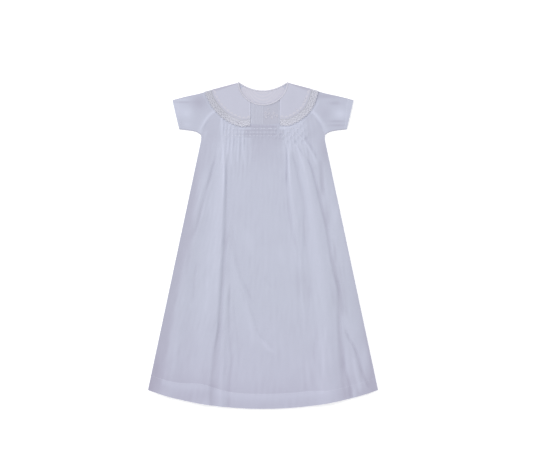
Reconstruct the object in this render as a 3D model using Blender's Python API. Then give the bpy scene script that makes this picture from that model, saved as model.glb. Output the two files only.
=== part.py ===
"""A baby's christening gown of thin white cotton, laid flat on its back, front up.

The front is shirred at the chest under a small pintucked yoke and falls into soft
folds; the back is plain and opens at the centre on a placket with three buttons. The
sleeves are short raglans, and the round collar is in two halves, edged with lace.

+X is to the right as the gown is seen from above, +Y is towards the neck, and z = 0 is
the surface it lies on. All sizes are in millimetres until make_solid turns them into
metres. Distances along the gown are measured from the middle of its length.
"""

import math
from collections import namedtuple

import bmesh
import bpy

MM = 0.001

# Cloth and the way it is stacked: back collar, back, front, front collar.
CLOTH = 1.2
GAP = 0.3
LAYER = CLOTH + GAP
SEAM_GAP = 0.35

# Outline.
HALF_LENGTH = 331.5
HEM_HALF_WIDTH = 233.5
HEM_DROP = 38.0
HEM_BAND = 31.0
HEM_STEP = 0.6
WAIST_HALF_WIDTH = 124.8
WAIST_Y = 218.0
UNDERARM = (126.0, 223.5)
UNDERARM_FLARE = 2.4
UNDERARM_FLARE_START = 212.0
CUFF_TOP = (184.0, 295.4)
CUFF_BOTTOM = (170.5, 236.0)

# Neck.
NECK_HALF_WIDTH = 48.0
FRONT_NECK_DEPTH = 44.0
BACK_NECK_DEPTH = 16.0
BINDING_WIDTH = 3.0
BINDING_PROFILE = ((0.0, 0.0), (0.0, 0.75), (0.25, 1.0), (0.75, 1.0), (1.0, 0.75), (1.0, 0.0))
NECK_EDGE = BINDING_WIDTH + GAP

# Raglan seams: where each leaves the neck edge, and the point that bends it.
FRONT_RAGLAN_X = 42.0
BACK_RAGLAN_X = 38.0
RAGLAN_BEND = (103.0, 283.0)

# Sleeves.
SLEEVE_SPREAD = 2.0
PLY_RADIUS = CLOTH + GAP / 2.0
SLEEVE_FOLD_INSET = 1.5
SLEEVE_INSET_FADE = (0.58, 0.85)
SLEEVE_NECK_GAP = 0.6
SPREAD_RAMP = 25.0
UNDERSIDE_LINE = (231.3, 0.105)
UNDERSIDE_ROUND = (7.8, 6.5)
UNDERSIDE_CLOSENESS = 0.6
UNDERARM_SHIFT = 1.3
CUFF_STEP = 0.4
CUFF_HEM_START = 0.9

# Collar, in polar form round a point near the neck; angles are below the horizontal.
COLLAR_CENTRE_Y = 320.0
COLLAR_REACH = 120.0
COLLAR_START_ANGLE = 3.5
COLLAR_SHOULDER_ANGLE = 7.0
COLLAR_SHOULDER_EXTRA = 2.0
FRONT_REACH_LOSS = 0.5
BACK_REACH_LOSS = 0.67
COLLAR_FRONT_X = {-1: 25.4, 1: 34.5}
COLLAR_BACK_X = 6.5
COLLAR_NECK_ANGLE = 4.0
COLLAR_NECK_INSET = 1.5
COLLAR_NECK_GAP = 0.8
COLLAR_RISE = 1.3
COLLAR_TOP = 1.5 * LAYER + CLOTH / 2.0
LACE_WIDTH = 16.0
LACE_CLOTH = 1.0
CORNER_CUT = 5.0
CORNER_START = 0.8

# How far the back's layers ride over the collar that lies under them.
LIFT_MARGIN = 24.0
LIFT_RAMP = 22.0
FRONT_LIFT_MARGIN = 31.0

# Yoke and its pintucks.
YOKE_SEAM_Y = 245.5
YOKE_SEAM_CURVE = 0.003
TUCK_XS = (-19.0, -13.0, -7.0, -1.0)
TUCK_HALF_WIDTH = 1.1
TUCK_HEIGHT = 0.9
YOKE_RAGLAN_SHARES = (0.96, 0.85, 0.7, 0.52, 0.34, 0.17)
YOKE_PLAIN_XS = (-42.0, -36.0, -30.0, -24.0, 6.0, 12.0, 18.0, 24.0, 30.0, 36.0, 42.0)

# Shirred band: u is the distance from the centre as a share of the half width.
PLEAT_U = 0.0582
PLEATS_EACH_SIDE = 11
PLEAT_HEIGHT = 1.9
BAND_TOP = 243.0
PINCH_TOP = 238.0
PINCH_PITCH = 7.5
BAND_BOTTOM = 218.5
BAND_FADE = 6.0
PINCH_LOSS = 0.35
PLEATS_CLEAR = 0.5
PLEATS_WHOLE = 6.5

# Gathers let out below the band: between which shares of the half width, down to where,
# and how strong.
Gather = namedtuple("Gather", "u_low u_high end_y strength")
GATHERS = (
    Gather(u_low=-0.74, u_high=-0.20, end_y=150.0, strength=0.9),
    Gather(u_low=0.27, u_high=0.78, end_y=165.0, strength=1.0),
)
GATHER_EDGE = 0.1
GATHER_TOP = (249.0, 263.0)

# Folds of the skirt. x is given at the top, middle and bottom of each fold, and the
# left and right widths at its top and bottom.
Fold = namedtuple(
    "Fold",
    "top bottom x_top x_middle x_bottom left_top left_bottom right_top right_bottom height",
)
FOLDS = (
    Fold(228, -420, -82, -94, -120, 8, 38, 7, 9, 4.8),
    Fold(200, -420, -98, -168, -208, 11, 26, 10, 22, 3.0),
    Fold(222, -150, 47, 67, 84, 6, 10, 9, 18, 3.8),
    Fold(228, -420, 72, 120, 130, 10, 32, 10, 24, 4.4),
    Fold(190, -280, 117, 160, 190, 11, 14, 10, 17, 3.4),
    Fold(-150, -400, 188, 212, 228, 9, 12, 9, 12, 2.6),
    Fold(-50, -420, -72, -84, -86, 8, 10, 8, 10, 2.4),
    Fold(10, -225, -72, -38, 8, 16, 18, 7, 9, 2.2),
)
FOLD_FADE = 0.16

# The panels' own fullness, which falls away at the side seams.
FULLNESS = 2.4
FULLNESS_TOP = 224.0
FULLNESS_WHOLE = 186.0
SIDE_FALL = 13.0
SIDE_FALL_GROWTH = 0.025

# Back opening.
PLACKET_HALF_WIDTH = 10.0
PLACKET_BOTTOM = 165.0
BUTTON_YS = (304.0, 246.0, 187.0)
BUTTON_RADIUS = 5.0
BUTTON_THICK = 1.2
BUTTON_BEVEL = 0.35
BUTTON_SIDES = 20
BUTTON_LIFT_RADIUS = 12.0
BUTTON_LIFT_RAMP = 18.0

# Steps of each grid. The front has rows across the band, then shares of the way down the
# skirt, then distances above the hem.
Column = namedtuple("Column", "x y u_top u_hem")
BAND_ROWS = (243.0, 240.5, 238.0, 234.25, 230.5, 226.75, 223.0, 220.5, 216.5, 212.0)
PLAIN_BAND_ROWS = (234.25, 212.0)
BAND_BEND = (0.68, 0.86)
SKIRT_ROWS = (0.013, 0.032, 0.053, 0.079, 0.11, 0.147, 0.19, 0.237, 0.29, 0.347, 0.41, 0.48)
SKIRT_ROWS += (0.547, 0.616, 0.684, 0.753, 0.821, 0.884, 0.942)
SKIRT_FAN_END = 0.6
HEM_FOLD = 1.2
PLAIN_SEAM_STEPS = 3
FRONT_RAGLAN_STEPS = 5
YOKE_ROWS = 4
BACK_NECK_XS = (20.0, 29.5, BACK_RAGLAN_X)
BACK_RAGLAN_STEPS = 10
BACK_SLOT_STEPS = 7
BACK_SKIRT_STEPS = 8
BACK_FOOT_DROP = 30.0
PLACKET_YS = (308.0, 300.0, 290.0, 275.0, 258.0, 246.0, 236.0, 222.0, 208.0, 198.0, 187.0, 176.0)
BEND_STEPS = 6
SLEEVE_SHARES = (0.0, 0.07, 0.16, 0.27, 0.39, 0.52, 0.65, 0.78, 0.885, 0.905, 1.0)
RAGLAN_STEPS = 12
NECK_STEPS = 3
COLLAR_STEPS = 12
COLLAR_CROSS_STEPS = 3
BINDING_STEPS = 26

WHITE_COTTON = (0.60, 0.62, 0.71)
SHELL_BUTTON = (0.72, 0.72, 0.72)


def clamp(value, low=0.0, high=1.0):
    return max(low, min(high, value))


def smooth(start, end, value):
    """A soft step from 0 at start to 1 at end."""
    t = clamp((value - start) / (end - start))
    return t * t * (3.0 - 2.0 * t)


def mix(a, b, t):
    return a + (b - a) * t


def mix_points(a, b, t):
    return tuple(mix(p, q, t) for p, q in zip(a, b))


def unit(x, y):
    length = math.hypot(x, y)
    return x / length, y / length


# ---------------------------------------------------------------- outline curves


def side_x(y):
    """Half the width of the skirt and chest at y."""
    slope = (HEM_HALF_WIDTH - WAIST_HALF_WIDTH) / (WAIST_Y + HALF_LENGTH - HEM_DROP)
    rise = clamp((y - UNDERARM_FLARE_START) / (UNDERARM[1] - UNDERARM_FLARE_START))
    return WAIST_HALF_WIDTH + slope * (WAIST_Y - y) + UNDERARM_FLARE * rise * rise


def hem_y(x):
    radius = (HEM_HALF_WIDTH**2 + HEM_DROP**2) / (2.0 * HEM_DROP)
    return -HALF_LENGTH + radius - math.sqrt(radius**2 - x * x)


def front_neck(angle, out):
    """Front neckline moved out by a distance; 0 degrees is the neck point."""
    x = (NECK_HALF_WIDTH + out) * math.cos(math.radians(angle))
    y = HALF_LENGTH - (FRONT_NECK_DEPTH + out) * math.sin(math.radians(angle))
    return x, y


def front_neck_angle(x, out):
    return math.degrees(math.acos(x / (NECK_HALF_WIDTH + out)))


def back_neck(x, out):
    """Back neckline moved out square to itself, x being on the line itself."""
    y = HALF_LENGTH - BACK_NECK_DEPTH * (1.0 - (x / NECK_HALF_WIDTH) ** 2)
    slope = 2.0 * BACK_NECK_DEPTH * x / NECK_HALF_WIDTH**2
    nx, ny = unit(slope, -1.0)
    return x + nx * out, y + ny * out


def raglan(start, t, out=0.0):
    """The raglan seam from the neck edge to the underarm, moved out towards the sleeve."""
    bx, by = RAGLAN_BEND
    ux, uy = UNDERARM
    keep = 1.0 - t
    x = keep * keep * start[0] + 2.0 * keep * t * bx + t * t * ux
    y = keep * keep * start[1] + 2.0 * keep * t * by + t * t * uy
    dx = 2.0 * keep * (bx - start[0]) + 2.0 * t * (ux - bx)
    dy = 2.0 * keep * (by - start[1]) + 2.0 * t * (uy - by)
    nx, ny = unit(-dy, dx)
    return x + nx * out, y + ny * out


def front_raglan_start():
    return front_neck(front_neck_angle(FRONT_RAGLAN_X, NECK_EDGE), NECK_EDGE)


def back_raglan_start():
    return back_neck(BACK_RAGLAN_X, NECK_EDGE)


def yoke_seam_y(x):
    return YOKE_SEAM_Y + YOKE_SEAM_CURVE * x * x


def yoke_corner():
    """Where the yoke seam meets the front raglan: the share of the raglan, and the point."""
    start = front_raglan_start()
    low, high = 0.0, 1.0
    for _ in range(40):
        middle = (low + high) / 2.0
        x, y = raglan(start, middle)
        if y > yoke_seam_y(x):
            low = middle
        else:
            high = middle
    return low, raglan(start, low)


def shoulder_direction():
    return unit(CUFF_TOP[0] - NECK_HALF_WIDTH, CUFF_TOP[1] - HALF_LENGTH)


def shoulder_point(along, inset):
    """A point on the shoulder fold, moved in towards the gown."""
    dx, dy = shoulder_direction()
    return (
        NECK_HALF_WIDTH + dx * along + dy * inset,
        HALF_LENGTH + dy * along - dx * inset,
    )


def collar_reach(angle, loss):
    return COLLAR_REACH - loss * (angle - COLLAR_START_ANGLE)


def collar_edge(angle, loss, inset=0.0):
    reach = collar_reach(angle, loss) - inset
    x = reach * math.cos(math.radians(angle))
    y = COLLAR_CENTRE_Y - reach * math.sin(math.radians(angle))
    return x, y


def collar_end_angle(x_end, loss, inset=0.0):
    """The angle at which the collar's edge reaches the given distance from the centre."""
    low, high = 30.0, 90.0
    for _ in range(40):
        middle = (low + high) / 2.0
        if collar_edge(middle, loss, inset)[0] > x_end:
            low = middle
        else:
            high = middle
    return low


# ---------------------------------------------------------------- heights


def past_collar(x, y, loss):
    """Distance outside the collar's edge, less than 0 inside it."""
    angle = math.degrees(math.atan2(COLLAR_CENTRE_Y - y, abs(x)))
    reach = collar_reach(max(angle, COLLAR_START_ANGLE), loss)
    return math.hypot(x, COLLAR_CENTRE_Y - y) - reach


def lift(x, y, margin=LIFT_MARGIN):
    """How far the back and the sleeves ride up over the collar that lies under them."""
    past = past_collar(x, y, BACK_REACH_LOSS)
    return LAYER * (1.0 - smooth(margin, margin + LIFT_RAMP, past))


def back_lift(x, y):
    """The back also rides up over its lowest button."""
    away = math.hypot(x, y - BUTTON_YS[-1])
    ramp_end = BUTTON_LIFT_RADIUS + BUTTON_LIFT_RAMP
    over_button = LAYER * (1.0 - smooth(BUTTON_LIFT_RADIUS, ramp_end, away))
    return max(lift(x, y), over_button)


def fold_x(fold, t):
    """A fold's crest at a share t of its length, through its three given places."""
    return (
        fold.x_top * (1.0 - t) * (1.0 - 2.0 * t)
        + fold.x_middle * 4.0 * t * (1.0 - t)
        + fold.x_bottom * t * (2.0 * t - 1.0)
    )


def fold_height(x, y):
    total = 0.0
    for fold in FOLDS:
        t = (fold.top - y) / (fold.top - fold.bottom)
        if not 0.0 < t < 1.0:
            continue
        away = x - fold_x(fold, t)
        if away < 0.0:
            width = mix(fold.left_top, fold.left_bottom, t)
        else:
            width = mix(fold.right_top, fold.right_bottom, t)
        fade = smooth(0.0, FOLD_FADE, t) * smooth(0.0, FOLD_FADE, 1.0 - t)
        total += fold.height * fade * math.exp(-((away / width) ** 2))
    return total


def side_fall(x, y):
    """1 over the panel, 0 at its side edge, where the two panels come together."""
    width = SIDE_FALL + SIDE_FALL_GROWTH * (WAIST_Y - y)
    away = max(side_x(y) - abs(x), 0.0)
    return 1.0 - math.exp(-((away / width) ** 2))


def skirt_height(x, y):
    """The front's height over its flat place: fullness and folds."""
    full = FULLNESS * smooth(FULLNESS_TOP, FULLNESS_WHOLE, y)
    return (full + fold_height(x, y)) * side_fall(x, y)


def honeycomb_shift(u, y):
    """How far a pleat's crest leans towards its neighbour, as a share of its pitch."""
    evenness = mix(0.3, 1.0, smooth(-0.2, 0.2, u))
    return 0.25 * evenness * math.cos(math.pi * (PINCH_TOP - y) / PINCH_PITCH)


def pleat_profile(u, y):
    """Height of the pleats from 0 in a valley to 1 on a crest."""
    place = u / PLEAT_U - 0.5
    nearest = round(place)
    best = 0.0
    for k in (nearest - 1, nearest, nearest + 1):
        lean = honeycomb_shift(u, y) * (1.0 if k % 2 else -1.0)
        away = abs(place - k - lean)
        best = max(best, 0.5 + 0.5 * math.cos(math.pi * clamp(away * 2.0)))
    return best


def shirring_strength(u, y):
    """Strength of the pleats in the band and of the gathers let out below it."""
    across = 1.0 - smooth(PLEAT_U * (PLEATS_EACH_SIDE - 1), PLEAT_U * PLEATS_EACH_SIDE, abs(u))
    in_band = smooth(BAND_TOP + 2.0, BAND_TOP - 2.0, y)
    in_band *= smooth(BAND_BOTTOM - BAND_FADE, BAND_BOTTOM, y)
    row = 0.5 + 0.5 * math.cos(2.0 * math.pi * (PINCH_TOP - y) / PINCH_PITCH)
    strength = across * in_band * (1.0 - PINCH_LOSS * row)
    for gather in GATHERS:
        edge = smooth(gather.u_low, gather.u_low + GATHER_EDGE, u)
        edge *= smooth(gather.u_high, gather.u_high - GATHER_EDGE, u)
        fall = smooth(gather.end_y, BAND_BOTTOM, y) * smooth(GATHER_TOP[1], GATHER_TOP[0], y)
        strength = max(strength, gather.strength * edge * fall)
    return strength


def under_collar(x, y):
    """0 where the front collar covers the front, 1 clear of it."""
    side = 1 if x > 0.0 else -1
    past = past_collar(x, y, FRONT_REACH_LOSS)
    inner = COLLAR_FRONT_X[side] - abs(x)
    return smooth(PLEATS_CLEAR, PLEATS_WHOLE, max(past, inner))


def pleat_height(x, y):
    u = x / side_x(y)
    return PLEAT_HEIGHT * pleat_profile(u, y) * shirring_strength(u, y) * under_collar(x, y)


def front_floor(x, y):
    """Underside of the front where it lies flat on the back."""
    return lift(x, y, FRONT_LIFT_MARGIN) + LAYER


# ---------------------------------------------------------------- solids


def make_solid(name, points, faces, colour, smooth_angle=40.0):
    """A closed body from points in millimetres."""
    mesh = bpy.data.meshes.new(name)
    mesh.from_pydata([(x * MM, y * MM, z * MM) for x, y, z in points], [], faces)
    work = bmesh.new()
    work.from_mesh(mesh)
    bmesh.ops.triangulate(work, faces=work.faces[:])
    bmesh.ops.recalc_face_normals(work, faces=work.faces[:])
    work.to_mesh(mesh)
    work.free()
    mesh.shade_smooth()
    mesh.set_sharp_from_angle(angle=math.radians(smooth_angle))
    solid = bpy.data.objects.new(name, mesh)
    bpy.context.scene.collection.objects.link(solid)
    solid.data.materials.append(material(colour))
    return solid


def material(colour):
    name = "shell" if colour == SHELL_BUTTON else "cotton"
    found = bpy.data.materials.get(name)
    if found:
        return found
    made = bpy.data.materials.new(name)
    made.use_nodes = True
    shader = made.node_tree.nodes["Principled BSDF"]
    shader.inputs["Base Color"].default_value = (*colour, 1.0)
    shader.inputs["Roughness"].default_value = 0.4 if colour == SHELL_BUTTON else 0.85
    shader.inputs["Metallic"].default_value = 0.0
    return made


class Skin:
    """Rows of points, each with a station along its row, ready to be joined."""

    def __init__(self):
        self.points = []
        self.faces = []

    def row(self, stations, points):
        """Adds a row and returns its (station, index) pairs."""
        first = len(self.points)
        self.points.extend(points)
        return [(station, first + i) for i, station in enumerate(stations)]

    def join(self, row_a, row_b, flip=False):
        """Triangles between two rows, walking both by station."""
        i, j = 0, 0
        while i < len(row_a) - 1 or j < len(row_b) - 1:
            on_a = j == len(row_b) - 1
            if i < len(row_a) - 1 and not on_a:
                on_a = row_a[i + 1][0] <= row_b[j + 1][0] + 1e-9
            if on_a:
                face = (row_a[i][1], row_b[j][1], row_a[i + 1][1])
                i += 1
            else:
                face = (row_a[i][1], row_b[j][1], row_b[j + 1][1])
                j += 1
            self.faces.append(face[::-1] if flip else face)

    def join_all(self, rows, flip=False):
        for row_a, row_b in zip(rows, rows[1:]):
            self.join(row_a, row_b, flip)


def side_row(rows, end):
    """The points down one side of a set of rows, with shares of the way as stations."""
    last = len(rows) - 1
    return [(i / last, row[end][1]) for i, row in enumerate(rows)]


def wall_between(name, top_rows, bottom_rows, colour=WHITE_COTTON):
    """A closed wall whose upper and lower skins may have different numbers of points.

    Each row is a pair: its stations, and its points.
    """
    skin = Skin()
    upper = [skin.row(*row) for row in top_rows]
    lower = [skin.row(*row) for row in bottom_rows]
    skin.join_all(upper)
    skin.join_all(lower, flip=True)
    skin.join(upper[0], lower[0], flip=True)
    skin.join(upper[-1], lower[-1])
    skin.join(side_row(upper, 0), side_row(lower, 0))
    skin.join(side_row(upper, -1), side_row(lower, -1), flip=True)
    return make_solid(name, skin.points, skin.faces, colour)


def even_stations(count):
    return [i / (count - 1) for i in range(count)]


def sheet(name, top_rows, bottom_rows, colour=WHITE_COTTON):
    """A closed wall from two grids of the same size."""
    top = [(even_stations(len(row)), row) for row in top_rows]
    bottom = [(even_stations(len(row)), row) for row in bottom_rows]
    return wall_between(name, top, bottom, colour)


def ring_body(name, rings, colour=WHITE_COTTON):
    """A closed body from rings of the same number of points, the first and last filled."""
    points = [point for ring in rings for point in ring]
    size = len(rings[0])
    faces = []
    for r in range(len(rings) - 1):
        for i in range(size):
            a, b = r * size + i, r * size + (i + 1) % size
            faces.append((a, b, b + size, a + size))
    faces.append(tuple(range(size))[::-1])
    last = (len(rings) - 1) * size
    faces.append(tuple(last + i for i in range(size)))
    return make_solid(name, points, faces, colour)


# ---------------------------------------------------------------- front


def seam_column(u):
    """Place on the front's top seam at a share of the half width."""
    x = 0.0
    for _ in range(6):
        x = u * side_x(yoke_seam_y(x) - SEAM_GAP)
    return x, yoke_seam_y(x) - SEAM_GAP


def front_columns(pleat_steps):
    """The front's columns across: the shirred part, the plain seam, then the raglan."""
    count = PLEATS_EACH_SIDE * pleat_steps
    band_u = PLEAT_U * PLEATS_EACH_SIDE
    tops = [seam_column(band_u * i / count) for i in range(count + 1)]
    share, corner = yoke_corner()
    inner_x = tops[-1][0]
    for i in range(1, PLAIN_SEAM_STEPS + 1):
        x = mix(inner_x, corner[0], i / PLAIN_SEAM_STEPS)
        tops.append((x, yoke_seam_y(x) - SEAM_GAP))
    start = front_raglan_start()
    for i in range(1, FRONT_RAGLAN_STEPS + 1):
        tops.append(raglan(start, mix(share, 1.0, i / FRONT_RAGLAN_STEPS)))
    columns = []
    for i, (x, y) in enumerate(tops):
        u_top = x / side_x(y)
        outer = (i - count) / (len(tops) - 1 - count)
        columns.append(Column(x, y, u_top, u_top if i <= count else mix(band_u, 1.0, outer)))
    mirrored = [Column(-c.x, c.y, -c.u_top, -c.u_hem) for c in columns[:0:-1]]
    return mirrored + columns


def band_point(column, y_row, share):
    """A point of a row across the chest; rows bend down to follow the raglan seam."""
    even = mix(column.y, BAND_ROWS[-1], share)
    y = mix(y_row, even, smooth(*BAND_BEND, abs(column.u_top)))
    return column.u_top * side_x(y), y


def skirt_point(column, share):
    """A point a share of the way down the skirt."""
    u = mix(column.u_top, column.u_hem, smooth(0.0, SKIRT_FAN_END, share))
    y = mix(BAND_ROWS[-1], hem_y(u * HEM_HALF_WIDTH) + HEM_BAND, share)
    return u * side_x(y), y


def hem_point(column, above):
    y = hem_y(column.u_hem * HEM_HALF_WIDTH) + above
    return column.u_hem * side_x(y), y


def front_rows(band_rows, chest, skirt):
    """Rows of the front as pairs of stations and plan points, and how thick each one is."""
    chest_stations = [column.u_top for column in chest]
    skirt_stations = [column.u_top for column in skirt]
    rows = [(chest_stations, [(column.x, column.y) for column in chest], CLOTH)]
    for i, y_row in enumerate(BAND_ROWS):
        if y_row in band_rows:
            share = (i + 1) / len(BAND_ROWS)
            points = [band_point(column, y_row, share) for column in chest]
            rows.append((chest_stations, points, CLOTH))
    for share in SKIRT_ROWS:
        points = [skirt_point(column, share) for column in skirt]
        rows.append((skirt_stations, points, CLOTH))
    for above in (HEM_BAND, HEM_BAND - HEM_FOLD, HEM_BAND / 2.0, 0.0):
        points = [hem_point(column, above) for column in skirt]
        rows.append((skirt_stations, points, CLOTH + (HEM_STEP if above < HEM_BAND else 0.0)))
    return rows


def build_front():
    fine = front_columns(4)
    plain = front_columns(2)
    top, bottom = [], []
    for stations, points, thick in front_rows(BAND_ROWS, fine, plain):
        row = []
        for x, y in points:
            base = front_floor(x, y) + skirt_height(x, y)
            row.append((x, y, base + thick + pleat_height(x, y)))
        top.append((stations, row))
    for stations, points, _ in front_rows(PLAIN_BAND_ROWS, plain, plain):
        row = [(x, y, front_floor(x, y) + skirt_height(x, y)) for x, y in points]
        bottom.append((stations, row))
    return wall_between("front", top, bottom)


def build_front_yoke():
    start = front_raglan_start()
    share, _ = yoke_corner()
    seam = [raglan(start, share * t) for t in YOKE_RAGLAN_SHARES]
    xs = list(YOKE_PLAIN_XS)
    for centre in TUCK_XS:
        xs += [centre - TUCK_HALF_WIDTH, centre, centre + TUCK_HALF_WIDTH]
    tops = [(-x, y) for x, y in seam]
    tops += [front_neck(front_neck_angle(x, NECK_EDGE), NECK_EDGE) for x in sorted(xs)]
    tops += seam[::-1]
    upper, lower = [], []
    for i in range(YOKE_ROWS + 1):
        row = [(x, mix(y, yoke_seam_y(x), i / YOKE_ROWS)) for x, y in tops]
        lower.append([(x, y, front_floor(x, y)) for x, y in row])
        upper.append([(x, y, front_floor(x, y) + CLOTH + tuck_height(x)) for x, y in row])
    return sheet("front_yoke", upper, lower)


def tuck_height(x):
    height = 0.0
    for centre in TUCK_XS:
        height = max(height, TUCK_HEIGHT * clamp(1.0 - abs(x - centre) / TUCK_HALF_WIDTH))
    return height


# ---------------------------------------------------------------- back


def back_top_edge(side):
    """Points along the back's upper edge from the placket out to the underarm."""
    inner = PLACKET_HALF_WIDTH + SEAM_GAP
    tops = [(inner, back_neck(inner, NECK_EDGE)[1])]
    tops += [back_neck(x, NECK_EDGE) for x in BACK_NECK_XS]
    start = tops[-1]
    tops += [raglan(start, i / BACK_RAGLAN_STEPS) for i in range(1, BACK_RAGLAN_STEPS + 1)]
    return [(side * x, y) for x, y in tops]


def back_column(top, share):
    """Points down one column of the back; share is 0 beside the placket, 1 at the side.

    The first steps end level with the foot of the placket. The column beside it runs
    straight down, and the others fan out to the hem.
    """
    x_top, y_top = top
    x_hem = mix(PLACKET_HALF_WIDTH + SEAM_GAP, HEM_HALF_WIDTH, share)
    foot = min(PLACKET_BOTTOM - SEAM_GAP, y_top - BACK_FOOT_DROP)
    bottom = hem_y(x_hem)
    ys = [mix(y_top, foot, i / BACK_SLOT_STEPS) for i in range(BACK_SLOT_STEPS)]
    ys += [mix(foot, bottom, i / BACK_SKIRT_STEPS) for i in range(BACK_SKIRT_STEPS + 1)]
    u_top = abs(x_top) / side_x(y_top)
    u_hem = x_hem / HEM_HALF_WIDTH
    column = []
    for y in ys:
        x = abs(x_top)
        if share > 0.0 and y < y_top:
            x = mix(u_top, u_hem, (y_top - y) / (y_top - bottom)) * side_x(y)
        column.append((math.copysign(x, x_top), y))
    return column


def build_back():
    """One panel with a slot for the placket: a grid whose slot cells are left out."""
    right = back_top_edge(1)
    last = len(right) - 1
    columns = [back_column(top, 1.0 - k / last) for k, top in enumerate(back_top_edge(-1)[::-1])]
    columns += [back_column(top, k / last) for k, top in enumerate(right)]
    plan = [point for column in columns for point in column]
    count = len(plan)
    rows = len(columns[0])
    points = [(x, y, back_lift(x, y) + CLOTH) for x, y in plan]
    points += [(x, y, back_lift(x, y)) for x, y in plan]
    faces = []
    open_edges = set()
    for k in range(len(columns) - 1):
        for i in range(rows - 1):
            if k == last and i < BACK_SLOT_STEPS:
                continue
            corner = k * rows + i
            loop = (corner, corner + 1, corner + rows + 1, corner + rows)
            faces.append(loop)
            faces.append(tuple(v + count for v in loop[::-1]))
            for edge in zip(loop, loop[1:] + loop[:1]):
                if edge[::-1] in open_edges:
                    open_edges.remove(edge[::-1])
                else:
                    open_edges.add(edge)
    for a, b in sorted(open_edges):
        faces.append((a, a + count, b + count, b))
    return make_solid("back", points, faces, WHITE_COTTON)


def build_placket():
    upper, lower = [], []
    half = PLACKET_HALF_WIDTH
    for y in (back_neck(0.0, NECK_EDGE)[1], *PLACKET_YS, PLACKET_BOTTOM):
        xs = (-half, -half / 2.0, 0.0, half / 2.0, half)
        upper.append([(x, y, back_lift(x, y) + CLOTH) for x in xs])
        lower.append([(x, y, back_lift(x, y)) for x in xs])
    return sheet("placket", upper, lower)


def build_buttons():
    """Flat round buttons, lying under the placket."""
    turn = [2.0 * math.pi * i / BUTTON_SIDES for i in range(BUTTON_SIDES)]
    inner = BUTTON_RADIUS - BUTTON_BEVEL
    top = BUTTON_THICK - BUTTON_BEVEL
    profile = (
        (inner, 0.0),
        (BUTTON_RADIUS, BUTTON_BEVEL),
        (BUTTON_RADIUS, top),
        (inner, BUTTON_THICK),
    )
    for number, y in enumerate(BUTTON_YS, start=1):
        rings = []
        for radius, z in profile:
            ring = [(radius * math.cos(a), y + radius * math.sin(a), z) for a in turn]
            rings.append(ring)
        ring_body(f"button_{number}", rings, SHELL_BUTTON)


# ---------------------------------------------------------------- sleeves


def arc_shares(points):
    """Each point's share of the way along a polyline."""
    along = [0.0]
    for a, b in zip(points, points[1:]):
        along.append(along[-1] + math.dist(a, b))
    return [length / along[-1] for length in along]


def underside_y(x):
    level, slope = UNDERSIDE_LINE
    depth, reach = UNDERSIDE_ROUND
    away = x - UNDERARM[0]
    return level + slope * away - depth * math.exp(-away / reach)


def sleeve_underside(share):
    """The sleeve's lower edge from the underarm to the cuff, closer points at the underarm."""
    along = share * mix(UNDERSIDE_CLOSENESS, 1.0, share)
    x = mix(UNDERARM[0] + UNDERARM_SHIFT, CUFF_BOTTOM[0], along)
    miss = CUFF_BOTTOM[1] - underside_y(CUFF_BOTTOM[0])
    return x, underside_y(x) + miss * share


def sleeve_fold(share):
    """The fold along the sleeve's top, from the neck edge to the cuff."""
    length = math.hypot(CUFF_TOP[0] - NECK_HALF_WIDTH, CUFF_TOP[1] - HALF_LENGTH)
    inset = SLEEVE_FOLD_INSET * (1.0 - smooth(*SLEEVE_INSET_FADE, share))
    return shoulder_point(mix(NECK_EDGE + SLEEVE_NECK_GAP, length, share), inset)


def edge_bend(curve, share, side):
    """Centre of the half-round bend along a sleeve's edge, and the way out of the sleeve.

    side is 1 for the fold on top and -1 for the underarm seam.
    """
    ahead = curve(min(share + 0.01, 1.0))
    behind = curve(max(share - 0.01, 0.0))
    tx, ty = unit(ahead[0] - behind[0], ahead[1] - behind[1])
    out = (-ty * side, tx * side)
    x, y = curve(share)
    return (x - out[0] * PLY_RADIUS, y - out[1] * PLY_RADIUS), out


def armhole(front):
    """The sleeve's inner edge from the underarm to the fold: the raglan, then the neck edge."""
    start = front_raglan_start() if front else back_raglan_start()
    points = [edge_bend(sleeve_underside, 0.0, -1)[0]]
    for i in range(1, RAGLAN_STEPS):
        points.append(raglan(start, 1.0 - i / RAGLAN_STEPS, SEAM_GAP))
    for i in range(NECK_STEPS):
        t = i / NECK_STEPS
        if front:
            angle = front_neck_angle(FRONT_RAGLAN_X + SEAM_GAP, NECK_EDGE)
            points.append(front_neck(angle * (1.0 - t), NECK_EDGE))
        else:
            points.append(back_neck(mix(BACK_RAGLAN_X + SEAM_GAP, NECK_HALF_WIDTH, t), NECK_EDGE))
    points.append(edge_bend(sleeve_fold, 0.0, 1)[0])
    return points


def sleeve_ply(edge, share):
    """Points across one ply from the underarm to the fold, with how far each stands up."""
    low = edge_bend(sleeve_underside, share, -1)[0]
    top = edge_bend(sleeve_fold, share, 1)[0]
    low_ruled = mix_points(edge[0], CUFF_BOTTOM, share)
    top_ruled = mix_points(edge[-1], CUFF_TOP, share)
    ply = []
    for place, v in zip(edge, arc_shares(edge)):
        ruled = mix_points(place, mix_points(CUFF_BOTTOM, CUFF_TOP, v), share)
        edge_line = mix_points(low, top, v)
        ruled_line = mix_points(low_ruled, top_ruled, v)
        x = ruled[0] + edge_line[0] - ruled_line[0]
        y = ruled[1] + edge_line[1] - ruled_line[1]
        clear = smooth(0.0, SPREAD_RAMP, past_collar(x, y, FRONT_REACH_LOSS))
        ply.append((x, y, SLEEVE_SPREAD * math.sin(math.pi * v) * clear))
    return ply


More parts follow.
